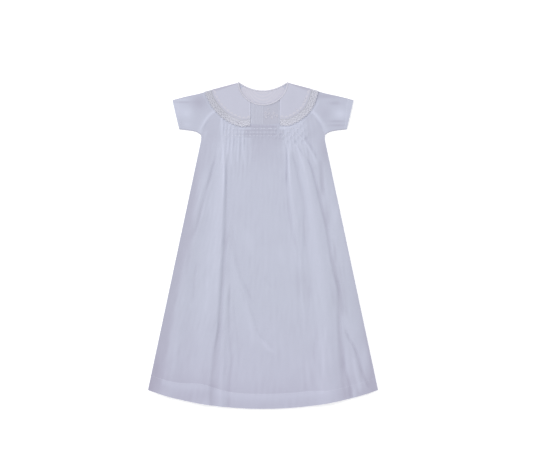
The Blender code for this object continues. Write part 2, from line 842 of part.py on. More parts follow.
def sleeve_ring(share, front_edge, back_edge, wall):
    """One ring of the sleeve: upper ply, fold, lower ply, underarm seam.

    wall is 0 for the outer skin and CLOTH for the inner one.
    """
    thin = PLY_RADIUS - wall
    hem = CUFF_STEP if share > CUFF_HEM_START and wall == 0.0 else 0.0
    turns = [math.pi * (0.5 - i / BEND_STEPS) for i in range(1, BEND_STEPS)]
    ring = []
    for x, y, spread in sleeve_ply(front_edge, share):
        ring.append((x, y, lift(x, y) + PLY_RADIUS + thin + spread + hem))
    ring += half_round(edge_bend(sleeve_fold, share, 1), thin, turns)
    for x, y, _ in reversed(sleeve_ply(back_edge, share)):
        ring.append((x, y, lift(x, y) + PLY_RADIUS - thin))
    ring += half_round(edge_bend(sleeve_underside, share, -1), thin, turns[::-1])
    return ring


def half_round(bend, radius, turns):
    """Points round the bend along an edge of the sleeve."""
    (x, y), (out_x, out_y) = bend
    middle = lift(x, y) + PLY_RADIUS
    points = []
    for turn in turns:
        reach = radius * math.cos(turn)
        points.append((x + out_x * reach, y + out_y * reach, middle + radius * math.sin(turn)))
    return points


def build_sleeve(name, side):
    """A short raglan sleeve as a flattened tube, open at the armhole and the cuff."""
    front_edge, back_edge = armhole(True), armhole(False)
    outer = [sleeve_ring(share, front_edge, back_edge, 0.0) for share in SLEEVE_SHARES]
    inner = [sleeve_ring(share, front_edge, back_edge, CLOTH) for share in SLEEVE_SHARES]
    size = len(outer[0])
    points = [(side * x, y, z) for ring in outer + inner for x, y, z in ring]
    shift = len(outer) * size
    steps = len(SLEEVE_SHARES) - 1
    faces = []
    for r in range(steps + 1):
        for i in range(size):
            a, b = r * size + i, r * size + (i + 1) % size
            if r < steps:
                faces.append((a, b, b + size, a + size))
                faces.append((a + shift, a + size + shift, b + size + shift, b + shift))
            if r in (0, steps):
                faces.append((a, b, b + shift, a + shift))
    return make_solid(name, points, faces, WHITE_COTTON)


# ---------------------------------------------------------------- collar and lace


def corner_cut(t):
    """The collar's corners are cut back a little at the front edge."""
    return CORNER_CUT * smooth(CORNER_START, 1.0, t)


def collar_stations(side, inset):
    """Stations along half a collar, from its back edge over the shoulder to its front edge.

    Each holds the point on the neck edge, the point this far in from the outer edge, and
    the angle of the cloth's bend: -90 on the back, 90 on the front, between them round
    the shoulder fold.
    """
    front_x = COLLAR_FRONT_X[side]
    shoulder = COLLAR_SHOULDER_ANGLE
    back_end = collar_end_angle(COLLAR_BACK_X, BACK_REACH_LOSS, inset)
    front_end = collar_end_angle(front_x, FRONT_REACH_LOSS, inset)
    neck_end = front_neck_angle(front_x, NECK_EDGE)
    stations = []
    for i in range(COLLAR_STEPS + 1):
        t = i / COLLAR_STEPS
        neck = back_neck(mix(COLLAR_BACK_X, NECK_HALF_WIDTH - COLLAR_NECK_INSET, t), NECK_EDGE)
        neck = (max(neck[0], COLLAR_BACK_X), neck[1])
        cut = corner_cut(1.0 - t)
        edge = collar_edge(mix(back_end, shoulder, t), BACK_REACH_LOSS, inset + cut)
        stations.append((neck, (max(edge[0], COLLAR_BACK_X), edge[1]), -90.0))
    for i in range(1, BEND_STEPS):
        angle = 180.0 * i / BEND_STEPS - 90.0
        away = COLLAR_TOP * (1.0 - math.cos(math.radians(angle)))
        neck = shoulder_point(NECK_EDGE + COLLAR_NECK_GAP, away)
        reach = COLLAR_REACH - NECK_HALF_WIDTH + COLLAR_SHOULDER_EXTRA
        edge = shoulder_point(reach - inset, away)
        stations.append((neck, edge, angle))
    for i in range(COLLAR_STEPS + 1):
        t = i / COLLAR_STEPS
        neck = front_neck(mix(COLLAR_NECK_ANGLE, neck_end, t), NECK_EDGE)
        edge = collar_edge(mix(shoulder, front_end, t), FRONT_REACH_LOSS, inset + corner_cut(t))
        stations.append((neck, (max(edge[0], front_x), edge[1]), 90.0))
    return stations


def build_collar_part(name, side, start_inset, end_inset, thickness):
    """A band of the collar between two distances from its outer edge.

    start_inset is None where the band starts at the neck edge.
    """
    ends = collar_stations(side, end_inset)
    if start_inset is None:
        starts = [neck for neck, _, _ in ends]
    else:
        starts = [edge for _, edge, _ in collar_stations(side, start_inset)]
    dx, dy = shoulder_direction()
    outer_rows, inner_rows = [], []
    for (_, edge, angle), start in zip(ends, starts):
        turn = math.radians(angle)
        inward = thickness * math.cos(turn)
        top_out = COLLAR_TOP * math.sin(turn)
        top_in = (COLLAR_TOP - thickness) * math.sin(turn)
        outer_row, inner_row = [], []
        for k in range(COLLAR_CROSS_STEPS + 1):
            x, y = mix_points(start, edge, k / COLLAR_CROSS_STEPS)
            width = math.hypot(x, COLLAR_CENTRE_Y - y) - NECK_HALF_WIDTH
            share = clamp(width / (COLLAR_REACH - NECK_HALF_WIDTH))
            level = COLLAR_TOP + COLLAR_RISE * share * share * smooth(-90.0, 90.0, angle)
            outer_row.append((side * x, y, level + top_out))
            inner_row.append((side * (x + dy * inward), y - dx * inward, level + top_in))
        outer_rows.append(outer_row)
        inner_rows.append(inner_row)
    return sheet(name, outer_rows, inner_rows)


def build_binding(name, path, floor, height):
    """A narrow strip along one side of the neck, rounded on top."""
    rings = []
    for near, far in path:
        ring = []
        for across, up in BINDING_PROFILE:
            x, y = mix_points(near, far, across)
            ring.append((x, y, floor + height * up))
        rings.append(ring)
    return ring_body(name, rings)


def build_bindings():
    front_path, back_path = [], []
    for i in range(BINDING_STEPS + 1):
        angle = mix(180.0, 0.0, i / BINDING_STEPS)
        front_path.append((front_neck(angle, 0.0), front_neck(angle, BINDING_WIDTH)))
        x = mix(-NECK_HALF_WIDTH, NECK_HALF_WIDTH, i / BINDING_STEPS)
        back_path.append((back_neck(x, 0.0), back_neck(x, BINDING_WIDTH)))
    build_binding("neck_binding_back", back_path, 0.0, LAYER + CLOTH)
    build_binding("neck_binding_front", front_path, 2.0 * LAYER, LAYER + CLOTH)


def main():
    for old in list(bpy.data.objects):
        bpy.data.objects.remove(old, do_unlink=True)
    build_back()
    build_placket()
    build_buttons()
    build_front()
    build_front_yoke()
    for side, word in ((-1, "left"), (1, "right")):
        build_sleeve(f"sleeve_{word}", side)
        build_collar_part(f"collar_{word}", side, None, LACE_WIDTH + GAP, CLOTH)
        build_collar_part(f"lace_{word}", side, LACE_WIDTH, 0.0, LACE_CLOTH)
    build_bindings()


main()
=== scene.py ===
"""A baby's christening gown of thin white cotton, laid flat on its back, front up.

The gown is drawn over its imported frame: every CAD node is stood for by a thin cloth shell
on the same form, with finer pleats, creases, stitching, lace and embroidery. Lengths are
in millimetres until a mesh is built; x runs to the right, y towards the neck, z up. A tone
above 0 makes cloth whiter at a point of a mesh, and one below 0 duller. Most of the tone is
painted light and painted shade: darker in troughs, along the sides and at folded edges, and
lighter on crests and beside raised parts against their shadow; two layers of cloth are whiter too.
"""

import logging
import math
from dataclasses import dataclass, field
from enum import Enum
from functools import partial

import bmesh
import bpy
import numpy as np
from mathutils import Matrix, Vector


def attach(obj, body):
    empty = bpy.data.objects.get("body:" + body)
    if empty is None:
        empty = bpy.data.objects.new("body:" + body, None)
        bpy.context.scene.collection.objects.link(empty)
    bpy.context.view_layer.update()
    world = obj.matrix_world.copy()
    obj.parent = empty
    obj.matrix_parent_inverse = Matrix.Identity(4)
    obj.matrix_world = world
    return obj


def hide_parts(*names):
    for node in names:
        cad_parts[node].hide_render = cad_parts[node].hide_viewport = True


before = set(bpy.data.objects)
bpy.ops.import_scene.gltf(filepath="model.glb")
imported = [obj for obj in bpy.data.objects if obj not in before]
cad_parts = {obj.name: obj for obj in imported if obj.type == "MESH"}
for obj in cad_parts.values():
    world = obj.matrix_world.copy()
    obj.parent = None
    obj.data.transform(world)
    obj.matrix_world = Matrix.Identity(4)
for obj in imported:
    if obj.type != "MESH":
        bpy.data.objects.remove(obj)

MM = 0.001
log = logging.getLogger("gown")

Array = np.ndarray
Point = tuple[float, float]
Triple = tuple[float, float, float]
Object = bpy.types.Object
Material = bpy.types.Material
Socket = bpy.types.NodeSocket


# ---------------------------------------------------------------- small helpers


def smooth(start: float, end: float, value: Array) -> Array:
    """A soft step: 0 where the value is at the start and 1 where it is at the end."""
    t = np.clip((np.asarray(value, float) - start) / (end - start), 0.0, 1.0)
    return t * t * (3.0 - 2.0 * t)


def mix(a: Array, b: Array, t: Array) -> Array:
    """Straight blend, a where t is 0 and b where it is 1."""
    return a + (b - a) * t


def bell(away: Array, width: Array | float) -> Array:
    """1 where away is 0, and almost 0 from two widths on."""
    return np.exp(-((away / width) ** 2))


def hump(away: Array, left: Array, right: Array) -> Array:
    """A bell whose two flanks, away below and above 0, have their own widths."""
    return bell(away, np.where(away < 0.0, left, right))


def turns(count: int) -> Array:
    """Angles of points set evenly round a circle."""
    return 2.0 * np.pi * np.arange(count) / count


def run_of(path: Array) -> Array:
    """Distance of each point of a path from its start, along it."""
    return np.concatenate(([0.0], np.cumsum(np.linalg.norm(np.diff(path, axis=0), axis=1))))


def unit(v: Array) -> Array:
    """Vectors along the last axis, made 1 long."""
    return v / np.maximum(np.linalg.norm(v, axis=-1, keepdims=True), 1e-9)


def through(points: tuple[Point, ...], count: int = 160) -> Array:
    """A smooth line through given points.

    Args:
        points: The points that the line passes.
        count: Number of points in the result.

    Returns:
        An array of count points.
    """
    p = np.array(points, float)
    p = np.vstack((2 * p[0] - p[1], p, 2 * p[-1] - p[-2]))
    spans = len(points) - 1
    t = np.linspace(0.0, spans, count)
    k = np.minimum(t.astype(int), spans - 1)
    f = (t - k)[:, None]
    a, b, c, d = p[k], p[k + 1], p[k + 2], p[k + 3]
    curve = 2 * b + (c - a) * f + (2 * a - 5 * b + 4 * c - d) * f**2
    return (curve + (3 * b - a - 3 * c + d) * f**3) / 2.0


def ripple(x: Array, y: Array, size: float, seed: int) -> Array:
    """Soft random unevenness of laid cloth.

    Args:
        x: Places across.
        y: Places along.
        size: Usual distance between its waves.
        seed: Picks the pattern.

    Returns:
        A value from about -1 to 1.
    """
    rng = np.random.default_rng(seed)
    total = np.zeros_like(np.asarray(x, float))
    for _ in range(7):
        angle = rng.normal(0.0, 0.5)
        length = size * rng.uniform(0.7, 1.6)
        phase = rng.uniform(0.0, 2.0 * np.pi)
        place = x * math.cos(angle) + y * 0.35 * math.sin(angle)
        total = total + np.sin(2.0 * np.pi * place / length + phase)
    return total / 3.5


class Side(Enum):
    """A side of the gown as it is seen from above; the value is the sign of its x."""

    LEFT = -1
    RIGHT = 1

    @property
    def word(self) -> str:
        """The side's name in lower case."""
        return self.name.lower()

    @property
    def mirror(self) -> Array:
        """Factors that bring a point of the right half to this side."""
        return np.array((float(self.value), 1.0, 1.0))


# ---------------------------------------------------------------- the pattern


@dataclass(frozen=True)
class Pattern:
    """Outline and seams of the laid gown."""

    half_length: float = 331.5
    hem_half_width: float = 233.5
    hem_drop: float = 38.0
    hem_band: float = 31.0
    hem_swell: Triple = (-125.0, 38.0, 9.5)
    hem_loss: Triple = (90.0, 140.0, 5.0)
    waist_half_width: float = 124.8
    waist_y: float = 218.0
    underarm: Point = (126.0, 223.5)
    underarm_flare: float = 2.4
    flare_start: float = 212.0
    cuff_top: Point = (184.0, 295.4)
    cuff_bottom: Point = (170.5, 236.0)
    neck_half_width: float = 48.0
    front_neck_depth: float = 44.0
    back_neck_depth: float = 16.0
    neck_edge: float = 3.3
    front_raglan_x: float = 42.0
    back_raglan_x: float = 38.0
    raglan_bend: Point = (103.0, 283.0)
    yoke_seam: float = 245.5
    yoke_curve: float = 0.003
    seam_gap: float = 0.02

    @property
    def neck_point(self) -> Array:
        """Where the shoulder fold leaves the neck."""
        return np.array((self.neck_half_width, self.half_length))

    @property
    def shoulder(self) -> Array:
        """Direction of the shoulder fold from the neck to the cuff."""
        return unit(np.array(self.cuff_top) - self.neck_point)

    def shoulder_point(self, along: Array, inset: Array) -> Array:
        """A point on the shoulder fold, moved in towards the gown.

        Args:
            along: Distance from the neck point.
            inset: Distance moved in.

        Returns:
            The point.
        """
        d = self.shoulder
        inward = np.array((d[1], -d[0]))
        return self.neck_point + np.multiply.outer(along, d) + np.multiply.outer(inset, inward)

    def side_x(self, y: Array) -> Array:
        """Half the width of the skirt and chest.

        Args:
            y: Places along the gown.

        Returns:
            Distance from the centre line to the side.
        """
        run = self.waist_y + self.half_length - self.hem_drop
        slope = (self.hem_half_width - self.waist_half_width) / run
        rise = np.clip((y - self.flare_start) / (self.underarm[1] - self.flare_start), 0, 1)
        return self.waist_half_width + slope * (self.waist_y - y) + self.underarm_flare * rise**2

    def hem_y(self, x: Array) -> Array:
        """Bottom edge of the skirt, an arc."""
        radius = (self.hem_half_width**2 + self.hem_drop**2) / (2.0 * self.hem_drop)
        return radius - self.half_length - np.sqrt(radius**2 - np.square(x))

    def front_hem_band(self, x: Array) -> Array:
        """Depth of the front's hem, drawn up by its folds on the left and down on the right."""
        (centre, wide, swell), (start, end, loss) = self.hem_swell, self.hem_loss
        return self.hem_band + swell * bell(x - centre, wide) - loss * smooth(start, end, x)

    def front_neck(self, angle: Array, out: float) -> Array:
        """Front neckline moved out, at an angle in degrees below the neck point."""
        a, wide, deep = np.radians(angle), self.neck_half_width + out, self.front_neck_depth + out
        return np.stack((wide * np.cos(a), self.half_length - deep * np.sin(a)), axis=-1)

    def front_neck_angle(self, x: Array) -> Array:
        """Degrees below the neck point at which the neck's seam has a given x."""
        return np.degrees(np.arccos(np.asarray(x, float) / (self.neck_half_width + self.neck_edge)))

    def back_neck(self, x: Array, out: float) -> Array:
        """Back neckline, moved out square to itself.

        Args:
            x: Distance from the centre line, on the line itself.
            out: Distance outside the line.

        Returns:
            Points of the line.
        """
        x = np.asarray(x, float)
        y = self.half_length - self.back_neck_depth * (1.0 - (x / self.neck_half_width) ** 2)
        slope = 2.0 * self.back_neck_depth * x / self.neck_half_width**2
        normal = unit(np.stack((slope, -np.ones_like(x)), axis=-1))
        return np.stack((x, y), axis=-1) + normal * out

    def raglan(self, start: Array, t: Array, out: float = 0.0) -> Array:
        """The raglan seam, moved out towards the sleeve.

        Args:
            start: Where the seam leaves the neck edge.
            t: Share of the way to the underarm.
            out: Distance moved.

        Returns:
            Points of the seam.
        """
        t = np.asarray(t, float)[..., None]
        bend, end = np.array(self.raglan_bend), np.array(self.underarm)
        keep = 1.0 - t
        place = keep**2 * start + 2.0 * keep * t * bend + t**2 * end
        along = unit(2.0 * keep * (bend - start) + 2.0 * t * (end - bend))
        return place + np.stack((-along[..., 1], along[..., 0]), axis=-1) * out

    def raglan_start(self, front: bool) -> Array:
        """Where the raglan seam leaves the neck edge.

        Args:
            front: True for the front panel, False for the back.

        Returns:
            The point.
        """
        if front:
            return self.front_neck(self.front_neck_angle(self.front_raglan_x), self.neck_edge)
        return self.back_neck(self.back_raglan_x, self.neck_edge)

    def yoke_seam_y(self, x: Array) -> Array:
        """Seam between the yoke and the shirred front."""
        return self.yoke_seam + self.yoke_curve * np.square(x)

    def yoke_corner(self) -> float:
        """Finds where the yoke seam meets the front raglan.

        Returns:
            Share of the raglan's way to the underarm.
        """
        shares = np.linspace(0.0, 1.0, 4001)
        points = self.raglan(self.raglan_start(True), shares)
        above = points[:, 1] > self.yoke_seam_y(points[:, 0])
        return float(shares[np.argmin(above)])


@dataclass(frozen=True)
class CollarPlan:
    """Plan of the round collar, in polar form round a point near the neck."""

    centre_y: float = 320.0
    reach: float = 120.0
    start_angle: float = 3.5
    shoulder_angle: float = 7.0
    shoulder_extra: float = 2.0
    front_loss: float = 0.5
    back_loss: float = 0.67
    front_x_left: float = 25.4
    front_x_right: float = 34.5
    back_x: float = 6.5
    rise: float = 1.3
    top: float = 2.85
    corner_cut: float = 5.0
    corner_start: float = 0.8
    shoulder_loss: float = 6.0
    shoulder_loss_end: float = 30.0

    def front_x(self, side: Side) -> float:
        """Distance of the collar's front edge from the centre line on one side."""
        return self.front_x_left if side is Side.LEFT else self.front_x_right

    def edge(self, angle: Array, loss: float, inset: Array) -> Array:
        """Outer edge of the collar, moved in.

        Args:
            angle: Degrees below the horizontal.
            loss: How much the collar narrows for each degree.
            inset: Distance moved in.

        Returns:
            Points of the line.
        """
        reach = self.reach - loss * (angle - self.start_angle) - inset
        a = np.radians(angle)
        return np.stack((reach * np.cos(a), self.centre_y - reach * np.sin(a)), axis=-1)

    def end_angle(self, x_end: float, loss: float, inset: float) -> float:
        """Angle at which the moved edge comes to a distance from the centre line."""
        angles = np.linspace(30.0, 90.0, 6001)
        return float(angles[np.argmin(self.edge(angles, loss, inset)[:, 0] > x_end)])

    def past(self, x: Array, y: Array, loss: float) -> Array:
        """Distance outside the collar's edge, less than 0 under the collar.

        Args:
            x: Places across.
            y: Places along.
            loss: How much the collar narrows for each degree.

        Returns:
            The distance.
        """
        angle = np.degrees(np.arctan2(self.centre_y - y, np.abs(x)))
        reach = self.reach - loss * (np.maximum(angle, self.start_angle) - self.start_angle)
        return np.hypot(x, self.centre_y - y) - reach

    def past_front(self, x: Array, y: Array) -> Array:
        """Distance outside the front collar's edge, less than 0 under it."""
        return self.past(x, y, self.front_loss)

    def climb(self, x: Array, y: Array) -> Array:
        """How much higher the collar lies than at the neck."""
        width = np.hypot(x, self.centre_y - y) - PATTERN.neck_half_width
        return self.rise * np.clip(width / (self.reach - PATTERN.neck_half_width), 0.0, 1.0) ** 2


PATTERN = Pattern()
COLLAR = CollarPlan()

# Places of the back's three buttons, from the neck down.
BUTTONS_Y: Triple = (304.0, 246.0, 187.0)


@dataclass(frozen=True)
class Layering:
    """How the layers lie on each other: back collar, back, front, front collar."""

    cloth: float = 1.2
    layer: float = 1.5
    margin: float = 24.0
    front_margin: float = 31.0
    ramp: float = 22.0
    button_y: float = BUTTONS_Y[-1]
    button_reach: Point = (12.0, 30.0)

    def lift(self, x: Array, y: Array, start: float = margin) -> Array:
        """How far upper layers ride up over the collar under them; they come down from start on."""
        past = COLLAR.past(x, y, COLLAR.back_loss)
        return self.layer * (1.0 - smooth(start, start + self.ramp, past))

    def back_lift(self, x: Array, y: Array) -> Array:
        """Rise of the back, which also rides over its lowest button."""
        over = 1.0 - smooth(*self.button_reach, np.hypot(x, y - self.button_y))
        return np.maximum(self.lift(x, y), self.layer * over)

    def front_floor(self, x: Array, y: Array) -> Array:
        """Underside of the front where it lies flat on the back."""
        return self.lift(x, y, self.front_margin) + self.layer


LAYERS = Layering()


# ---------------------------------------------------------------- folds of the front


@dataclass(frozen=True)
class Fold:
    """A broad fold of the skirt, with x at its top, middle and bottom."""

    top: float
    bottom: float
    x_top: float
    x_middle: float
    x_bottom: float
    left_top: float
    left_bottom: float
    right_top: float
    right_bottom: float
    height: float
    fade: float = 0.16

    def height_at(self, x: Array, y: Array) -> Array:
        """Height of the fold.

        Args:
            x: Places across.
            y: Places along.

        Returns:
            The height it adds.
        """
        t = np.clip((self.top - y) / (self.top - self.bottom), 0.0, 1.0)
        crest = self.x_top * (1.0 - t) * (1.0 - 2.0 * t) + self.x_middle * 4.0 * t * (1.0 - t)
        crest = crest + self.x_bottom * t * (2.0 * t - 1.0)
        left = mix(self.left_top, self.left_bottom, t)
        right = mix(self.right_top, self.right_bottom, t)
        faded = smooth(0.0, self.fade, t) * smooth(0.0, self.fade, 1.0 - t)
        return self.height * faded * hump(x - crest, left, right)


@dataclass(frozen=True)
class Crease:
    """A narrow trough or ridge along a line, set down from its upper end."""

    line: tuple[Point, ...]
    height: float
    left: Point
    right: Point
    fade: Point = (25.0, 25.0)

    def height_at(self, x: Array, y: Array) -> Array:
        """Height of the crease, less than 0 in a trough.

        Args:
            x: Places across.
            y: Places along.

        Returns:
            The height it adds.
        """
        path = through(self.line)[::-1]
        low, high = path[0, 1], path[-1, 1]
        crest = np.interp(y, path[:, 1], path[:, 0])
        t = np.clip((high - y) / (high - low), 0.0, 1.0)
        from_top, from_end = self.fade
        faded = smooth(high + 1.0, high - from_top, y) * smooth(low - 1.0, low + from_end, y)
        return self.height * faded * hump(x - crest, mix(*self.left, t), mix(*self.right, t))


@dataclass(frozen=True)
class Wrinkle:
    """A soft swelling of the cloth, or a hollow where its height is less than 0."""

    x: float
    y: float
    wide: float
    tall: float
    height: float

    def height_at(self, x: Array, y: Array) -> Array:
        """Height that it adds."""
        away = ((x - self.x) / self.wide) ** 2 + ((y - self.y) / self.tall) ** 2
        return self.height * np.exp(-away)


FOLDS = tuple(Fold(*row) for row in (
    (228, -420, -76, -92, -118, 8, 46, 4, 9, 4),
    (200, -420, -98, -168, -208, 11, 26, 10, 22, 3),
    (222, -80, 47, 62, 78, 6, 10, 9, 18, 3.8),
    (228, -420, 72, 120, 130, 10, 32, 10, 24, 4.4),
    (190, -280, 117, 160, 190, 11, 14, 10, 17, 2.1),
    (-150, -400, 188, 212, 228, 9, 12, 9, 12, 2.6),
    (-50, -420, -72, -84, -86, 8, 10, 8, 10, 2.4),
    (10, -225, -72, -38, 8, 16, 18, 7, 9, 2.2),
))

CREASES = tuple(Crease(*row) for row in (
    # Left: the trough beside the deep fold with its crest, and the ones outside it.
    (((-73, 182), (-74, 163), (-74, 133), (-74, 92), (-75, 52), (-77, 11), (-80, -20)), -0.8,
     (1.8, 2.6), (1.8, 3.6), (44, 60)),
    (((-75, 52), (-77, 11), (-79.5, -29), (-82.5, -80), (-86, -127), (-90, -176), (-98, -218),
     (-104, -289), (-105, -345)), -1.6, (2.6, 4), (4, 6.5), (60, 1)),
    (((-67, 45), (-67, 10), (-68, -40), (-70, -90)), -0.7, (6, 7), (4, 6), (30, 40)),
    (((-64, 52), (-58, 12), (-52, -30)), -0.4, (2.4, 3), (2.4, 4), (20, 40)),
    (((-83, 262), (-82, 232), (-80, 190), (-79, 150), (-79, 110), (-82, 60)), 1.1, (2.2, 5),
     (2, 3.6), (6, 80)),
    (((-79, 240), (-78, 222), (-79, 205), (-79, 186)), -0.5, (1.8, 2), (1.8, 2), (8, 12)),
    (((-89, 206), (-95, 180), (-102, 155), (-107, 135), (-115, 113), (-121, 90), (-128, 62),
     (-135, 38), (-141, 20), (-147, 2)), -1.6, (3, 5.5), (2.8, 5), (60, 30)),
    (((-88, 200), (-92, 180), (-98, 158), (-104, 140)), 0.6, (2.4, 3), (2, 3), (14, 20)),
    (((-133, -30), (-138, -63), (-140, -96), (-143, -130)), -0.7, (3, 3), (3, 3)),
    (((-146, -10), (-152, -40), (-156, -70)), -0.5, (3, 4), (3, 4), (15, 20)),
    (((-152, 40), (-158, 10), (-166, -30)), -0.4, (2.6, 3), (2.6, 3), (15, 20)),
    (((-118, -230), (-121, -262), (-119, -300)), -0.4, (3, 4), (3, 4), (15, 20)),
    (((-111, -60), (-113, -110), (-117, -150)), 0.4, (3, 4), (3, 4), (20, 20)),
    (((-66, -75), (-67, -95), (-68, -150), (-66, -205), (-63, -232), (-68, -289), (-69, -345)), -1,
     (2.6, 4.5), (2.4, 4), (14, 1)),
    (((-60, -100), (-56, -150), (-50, -200), (-46, -262)), -0.5, (2.4, 3), (2.4, 3)),
    (((-79, -190), (-80, -235), (-84, -280), (-86, -345)), 0.3, (3, 4), (3, 4), (20, 1)),
    (((-92, -150), (-96, -190), (-101, -225)), 0.4, (2, 2.6), (2, 2.6), (15, 20)),
    (((-114, 234), (-118, 222), (-121, 208)), 0.8, (3, 3), (3, 3), (6, 8)),
    (((-30, 40), (-26, 0), (-22, -30)), 0.5, (9, 9), (9, 9), (30, 30)),
    (((36, 10), (38, -20), (42, -50)), 0.4, (8, 8), (8, 8), (30, 30)),
    # The slanting crease across the middle, and the small ones beside it.
    (((-67, 66), (-61, 11), (-43, -63), (-34, -84), (-22, -112)), -0.35, (4, 5.5), (2.4, 3.2),
     (90, 20)),
    (((-36, -78), (-29, -95), (-20, -117)), -0.7, (2, 2.4), (1.8, 2.2), (8, 10)),
    (((-47, -85), (-39, -104), (-34, -124)), -0.5, (2, 2.4), (2, 2.2), (8, 12)),
    (((-24, -122), (-17, -152), (-8, -178), (6, -196), (22, -208)), -0.8, (3, 4), (3, 4)),
    (((-34, -115), (-28, -150), (-22, -185), (-20, -215)), 0.3, (5, 5), (4, 5)),
    (((0, -190), (10, -208), (24, -222)), 0.9, (6, 7), (5, 6), (10, 10)),
    (((2, -60), (10, -76), (24, -92)), -0.4, (5, 5), (4, 5), (8, 12)),
    # Right of the centre.
    (((48.5, 160), (49, 133), (51, 96), (55, 60), (61, 22), (67, 0), (70, -12), (71, -50),
     (73, -131)), -1.3, (2.8, 4.5), (2.2, 4), (90, 90)),
    (((46, 206), (48, 190), (48.4, 160), (48.6, 127), (50, 100)), -1.9, (1.5, 2.2), (1.2, 1.8),
     (12, 45)),
    (((52, 215), (52.5, 190), (53, 160), (55, 110)), 1.3, (1.8, 2.6), (2.8, 5), (36, 50)),
    (((59, 198), (64, 176), (69, 159), (74, 133), (79, 110), (84, 82), (86, 54), (86, 30),
     (86, -10), (84, -60), (83, -90)), -1.4, (2.8, 8), (2.4, 8), (40, 130)),
    (((82, 197), (92, 174), (101, 151), (110, 115), (119, 78), (128, 43), (135, 3), (138, -20),
     (144, -45), (144, -53), (153, -86), (154, -121), (156, -171), (158, -202), (161, -236),
     (166, -283), (168, -345)), -1.8, (2.6, 5.5), (2.2, 5), (36, 130)),
    (((65, 211), (72, 192), (80, 166), (88, 140)), 0.9, (2.2, 4), (2.4, 4), (8, 30)),
    (((82, 211), (89, 204), (100, 185), (106, 172), (111, 157)), 1.1, (2.6, 3), (3.2, 4), (6, 14)),
    (((84, 224), (94, 207), (106, 187), (112, 172)), -1, (2.4, 3), (2.4, 3), (8, 14)),
    (((62, 218), (69, 205), (79, 190), (88, 172)), -0.9, (2, 2.4), (2, 2.4), (8, 14)),
    (((55, 218), (58, 200), (62, 184)), 0.6, (2, 2.4), (2, 2.4), (8, 12)),
    (((73, 222), (84, 212), (92, 200)), 0.6, (2, 2.4), (2, 2.4), (6, 8)),
    (((116, 182), (119, 160), (121, 127), (125, 90)), -1.8, (4, 5), (3, 4)),
    (((133, 90), (140, 50), (149, 10)), -0.5, (3, 4), (3, 4), (20, 20)),
    (((76, -60), (80, -110), (86, -160)), 0.5, (2.6, 3), (2.6, 3)),
    (((93, -70), (95, -110), (94, -150)), -0.5, (2.6, 3), (2.6, 3)),
    (((105, -150), (107, -180), (104, -215), (106, -253)), -0.8, (2.5, 3), (3, 3)),
    (((120, -180), (122, -230), (121, -300)), 0.5, (4, 5), (4, 5), (30, 1)),
    # The crushed corner at the lower right.
    (((148, -40), (153, -75), (159, -110), (163, -150)), -1.8, (3.4, 5), (3, 4), (14, 24)),
    (((162, -215), (167, -250), (173, -272), (178, -292), (181, -310)), -2.1, (3, 5), (2.4, 2.4),
     (30, 1)),
    (((156, -215), (159, -250), (164, -300)), -0.6, (3, 4), (3, 4), (20, 20)),
    (((166, -165), (174, -188), (185, -206), (194, -230), (199, -250), (208, -272), (218, -292)),
     -2, (2.6, 4), (2.2, 4), (16, 8)),
    (((186, -196), (192, -180), (200, -168)), -0.8, (2.4, 2.4), (2.4, 2.4), (6, 8)),
    (((184, -225), (188, -255), (196, -285), (200, -310)), 0.9, (4, 5), (4, 5), (10, 20)),
    (((148, -20), (158, -60), (166, -100), (173, -160)), -0.8, (4, 5), (4, 5)),
    (((196, -120), (201, -160), (208, -200), (216, -240)), -0.7, (4, 5), (4, 5)),
    # Short ones let out of the shirring on the left, straight down.
    (((-61, 222), (-62, 200), (-63, 170), (-63, 150)), 0.8, (2, 2.4), (2, 2.4), (8, 20)),
    (((-70, 216), (-70, 200), (-70, 182)), 0.6, (1.8, 2), (1.8, 2), (8, 12)),
    (((-50, 222), (-50, 200), (-51, 180), (-51, 160)), 0.7, (2, 2.4), (2, 2.4), (8, 20)),
    (((-41, 222), (-40, 200), (-38, 180), (-36, 152)), 0.9, (2.2, 3), (2.2, 3), (8, 24)),
    (((-56, 220), (-57, 195), (-57, 160)), -0.4, (2, 2.4), (2, 2.4), (8, 20)),
    (((-46, 220), (-45, 195), (-44, 160)), -0.4, (2, 2.4), (2, 2.4), (8, 20)),
    (((-33, 222), (-30, 195), (-27, 165)), -0.4, (2, 2.4), (2, 2.4), (8, 20)),
))


def wrinkles(*rows: tuple[float, ...]) -> tuple[Wrinkle, ...]:
    """Wrinkles from rows of their sizes."""
    return tuple(Wrinkle(*row) for row in rows)


# Broad soft hollows and swells of the front, faint in its shape and strong in its tone:
# painted shade where their height is below 0, painted light where it is above.
SHADES = wrinkles(
    (-6, 198, 52, 40, -0.42), (-112, 195, 14, 46, -0.3), (126, 196, 13, 30, -0.55),
    (119, 128, 6, 34, -0.4), (129, 62, 6, 26, -0.45), (145, 62, 6, 25, 0.4),
    (69, 5, 6, 26, -0.45), (145, -12, 6, 22, -0.45), (142, -102, 8, 45, -0.3),
    (112, -175, 20, 130, -0.25), (120, -265, 22, 36, -0.3), (88, -82, 15, 42, -0.35),
    (164, -90, 10, 60, -0.35), (-104, -170, 14, 60, -0.45), (-90, -200, 10, 90, -0.35),
    (-112, -260, 14, 50, -0.4), (-120, -302, 24, 20, -0.4), (-136, 108, 6, 30, -0.2),
    (-150, 5, 9, 60, -0.3), (206, -228, 8, 26, 0.5), (170, -245, 6, 30, 0.5),
    (167, -300, 9, 16, -0.5), (186, -300, 4, 14, 0.6), (199, -298, 9, 9, -0.5),
    (-196, -225, 7, 50, -0.25), (-205, -280, 12, 14, -0.45), (-104, -292, 20, 12, -0.45),
    (140, 112, 5, 24, 0.35), (149, 66, 5, 24, 0.4), (160, 16, 6, 26, 0.3), (169, -32, 7, 26, 0.4),
    (133, 52, 5, 16, -0.35), (147, -28, 5, 20, -0.3),
)

# Painted shade in the corner at the lower left, in the tone only.
CORNER = wrinkles(
    (-232, -285, 11, 26, -0.6), (-217, -250, 7, 24, -0.4),
)


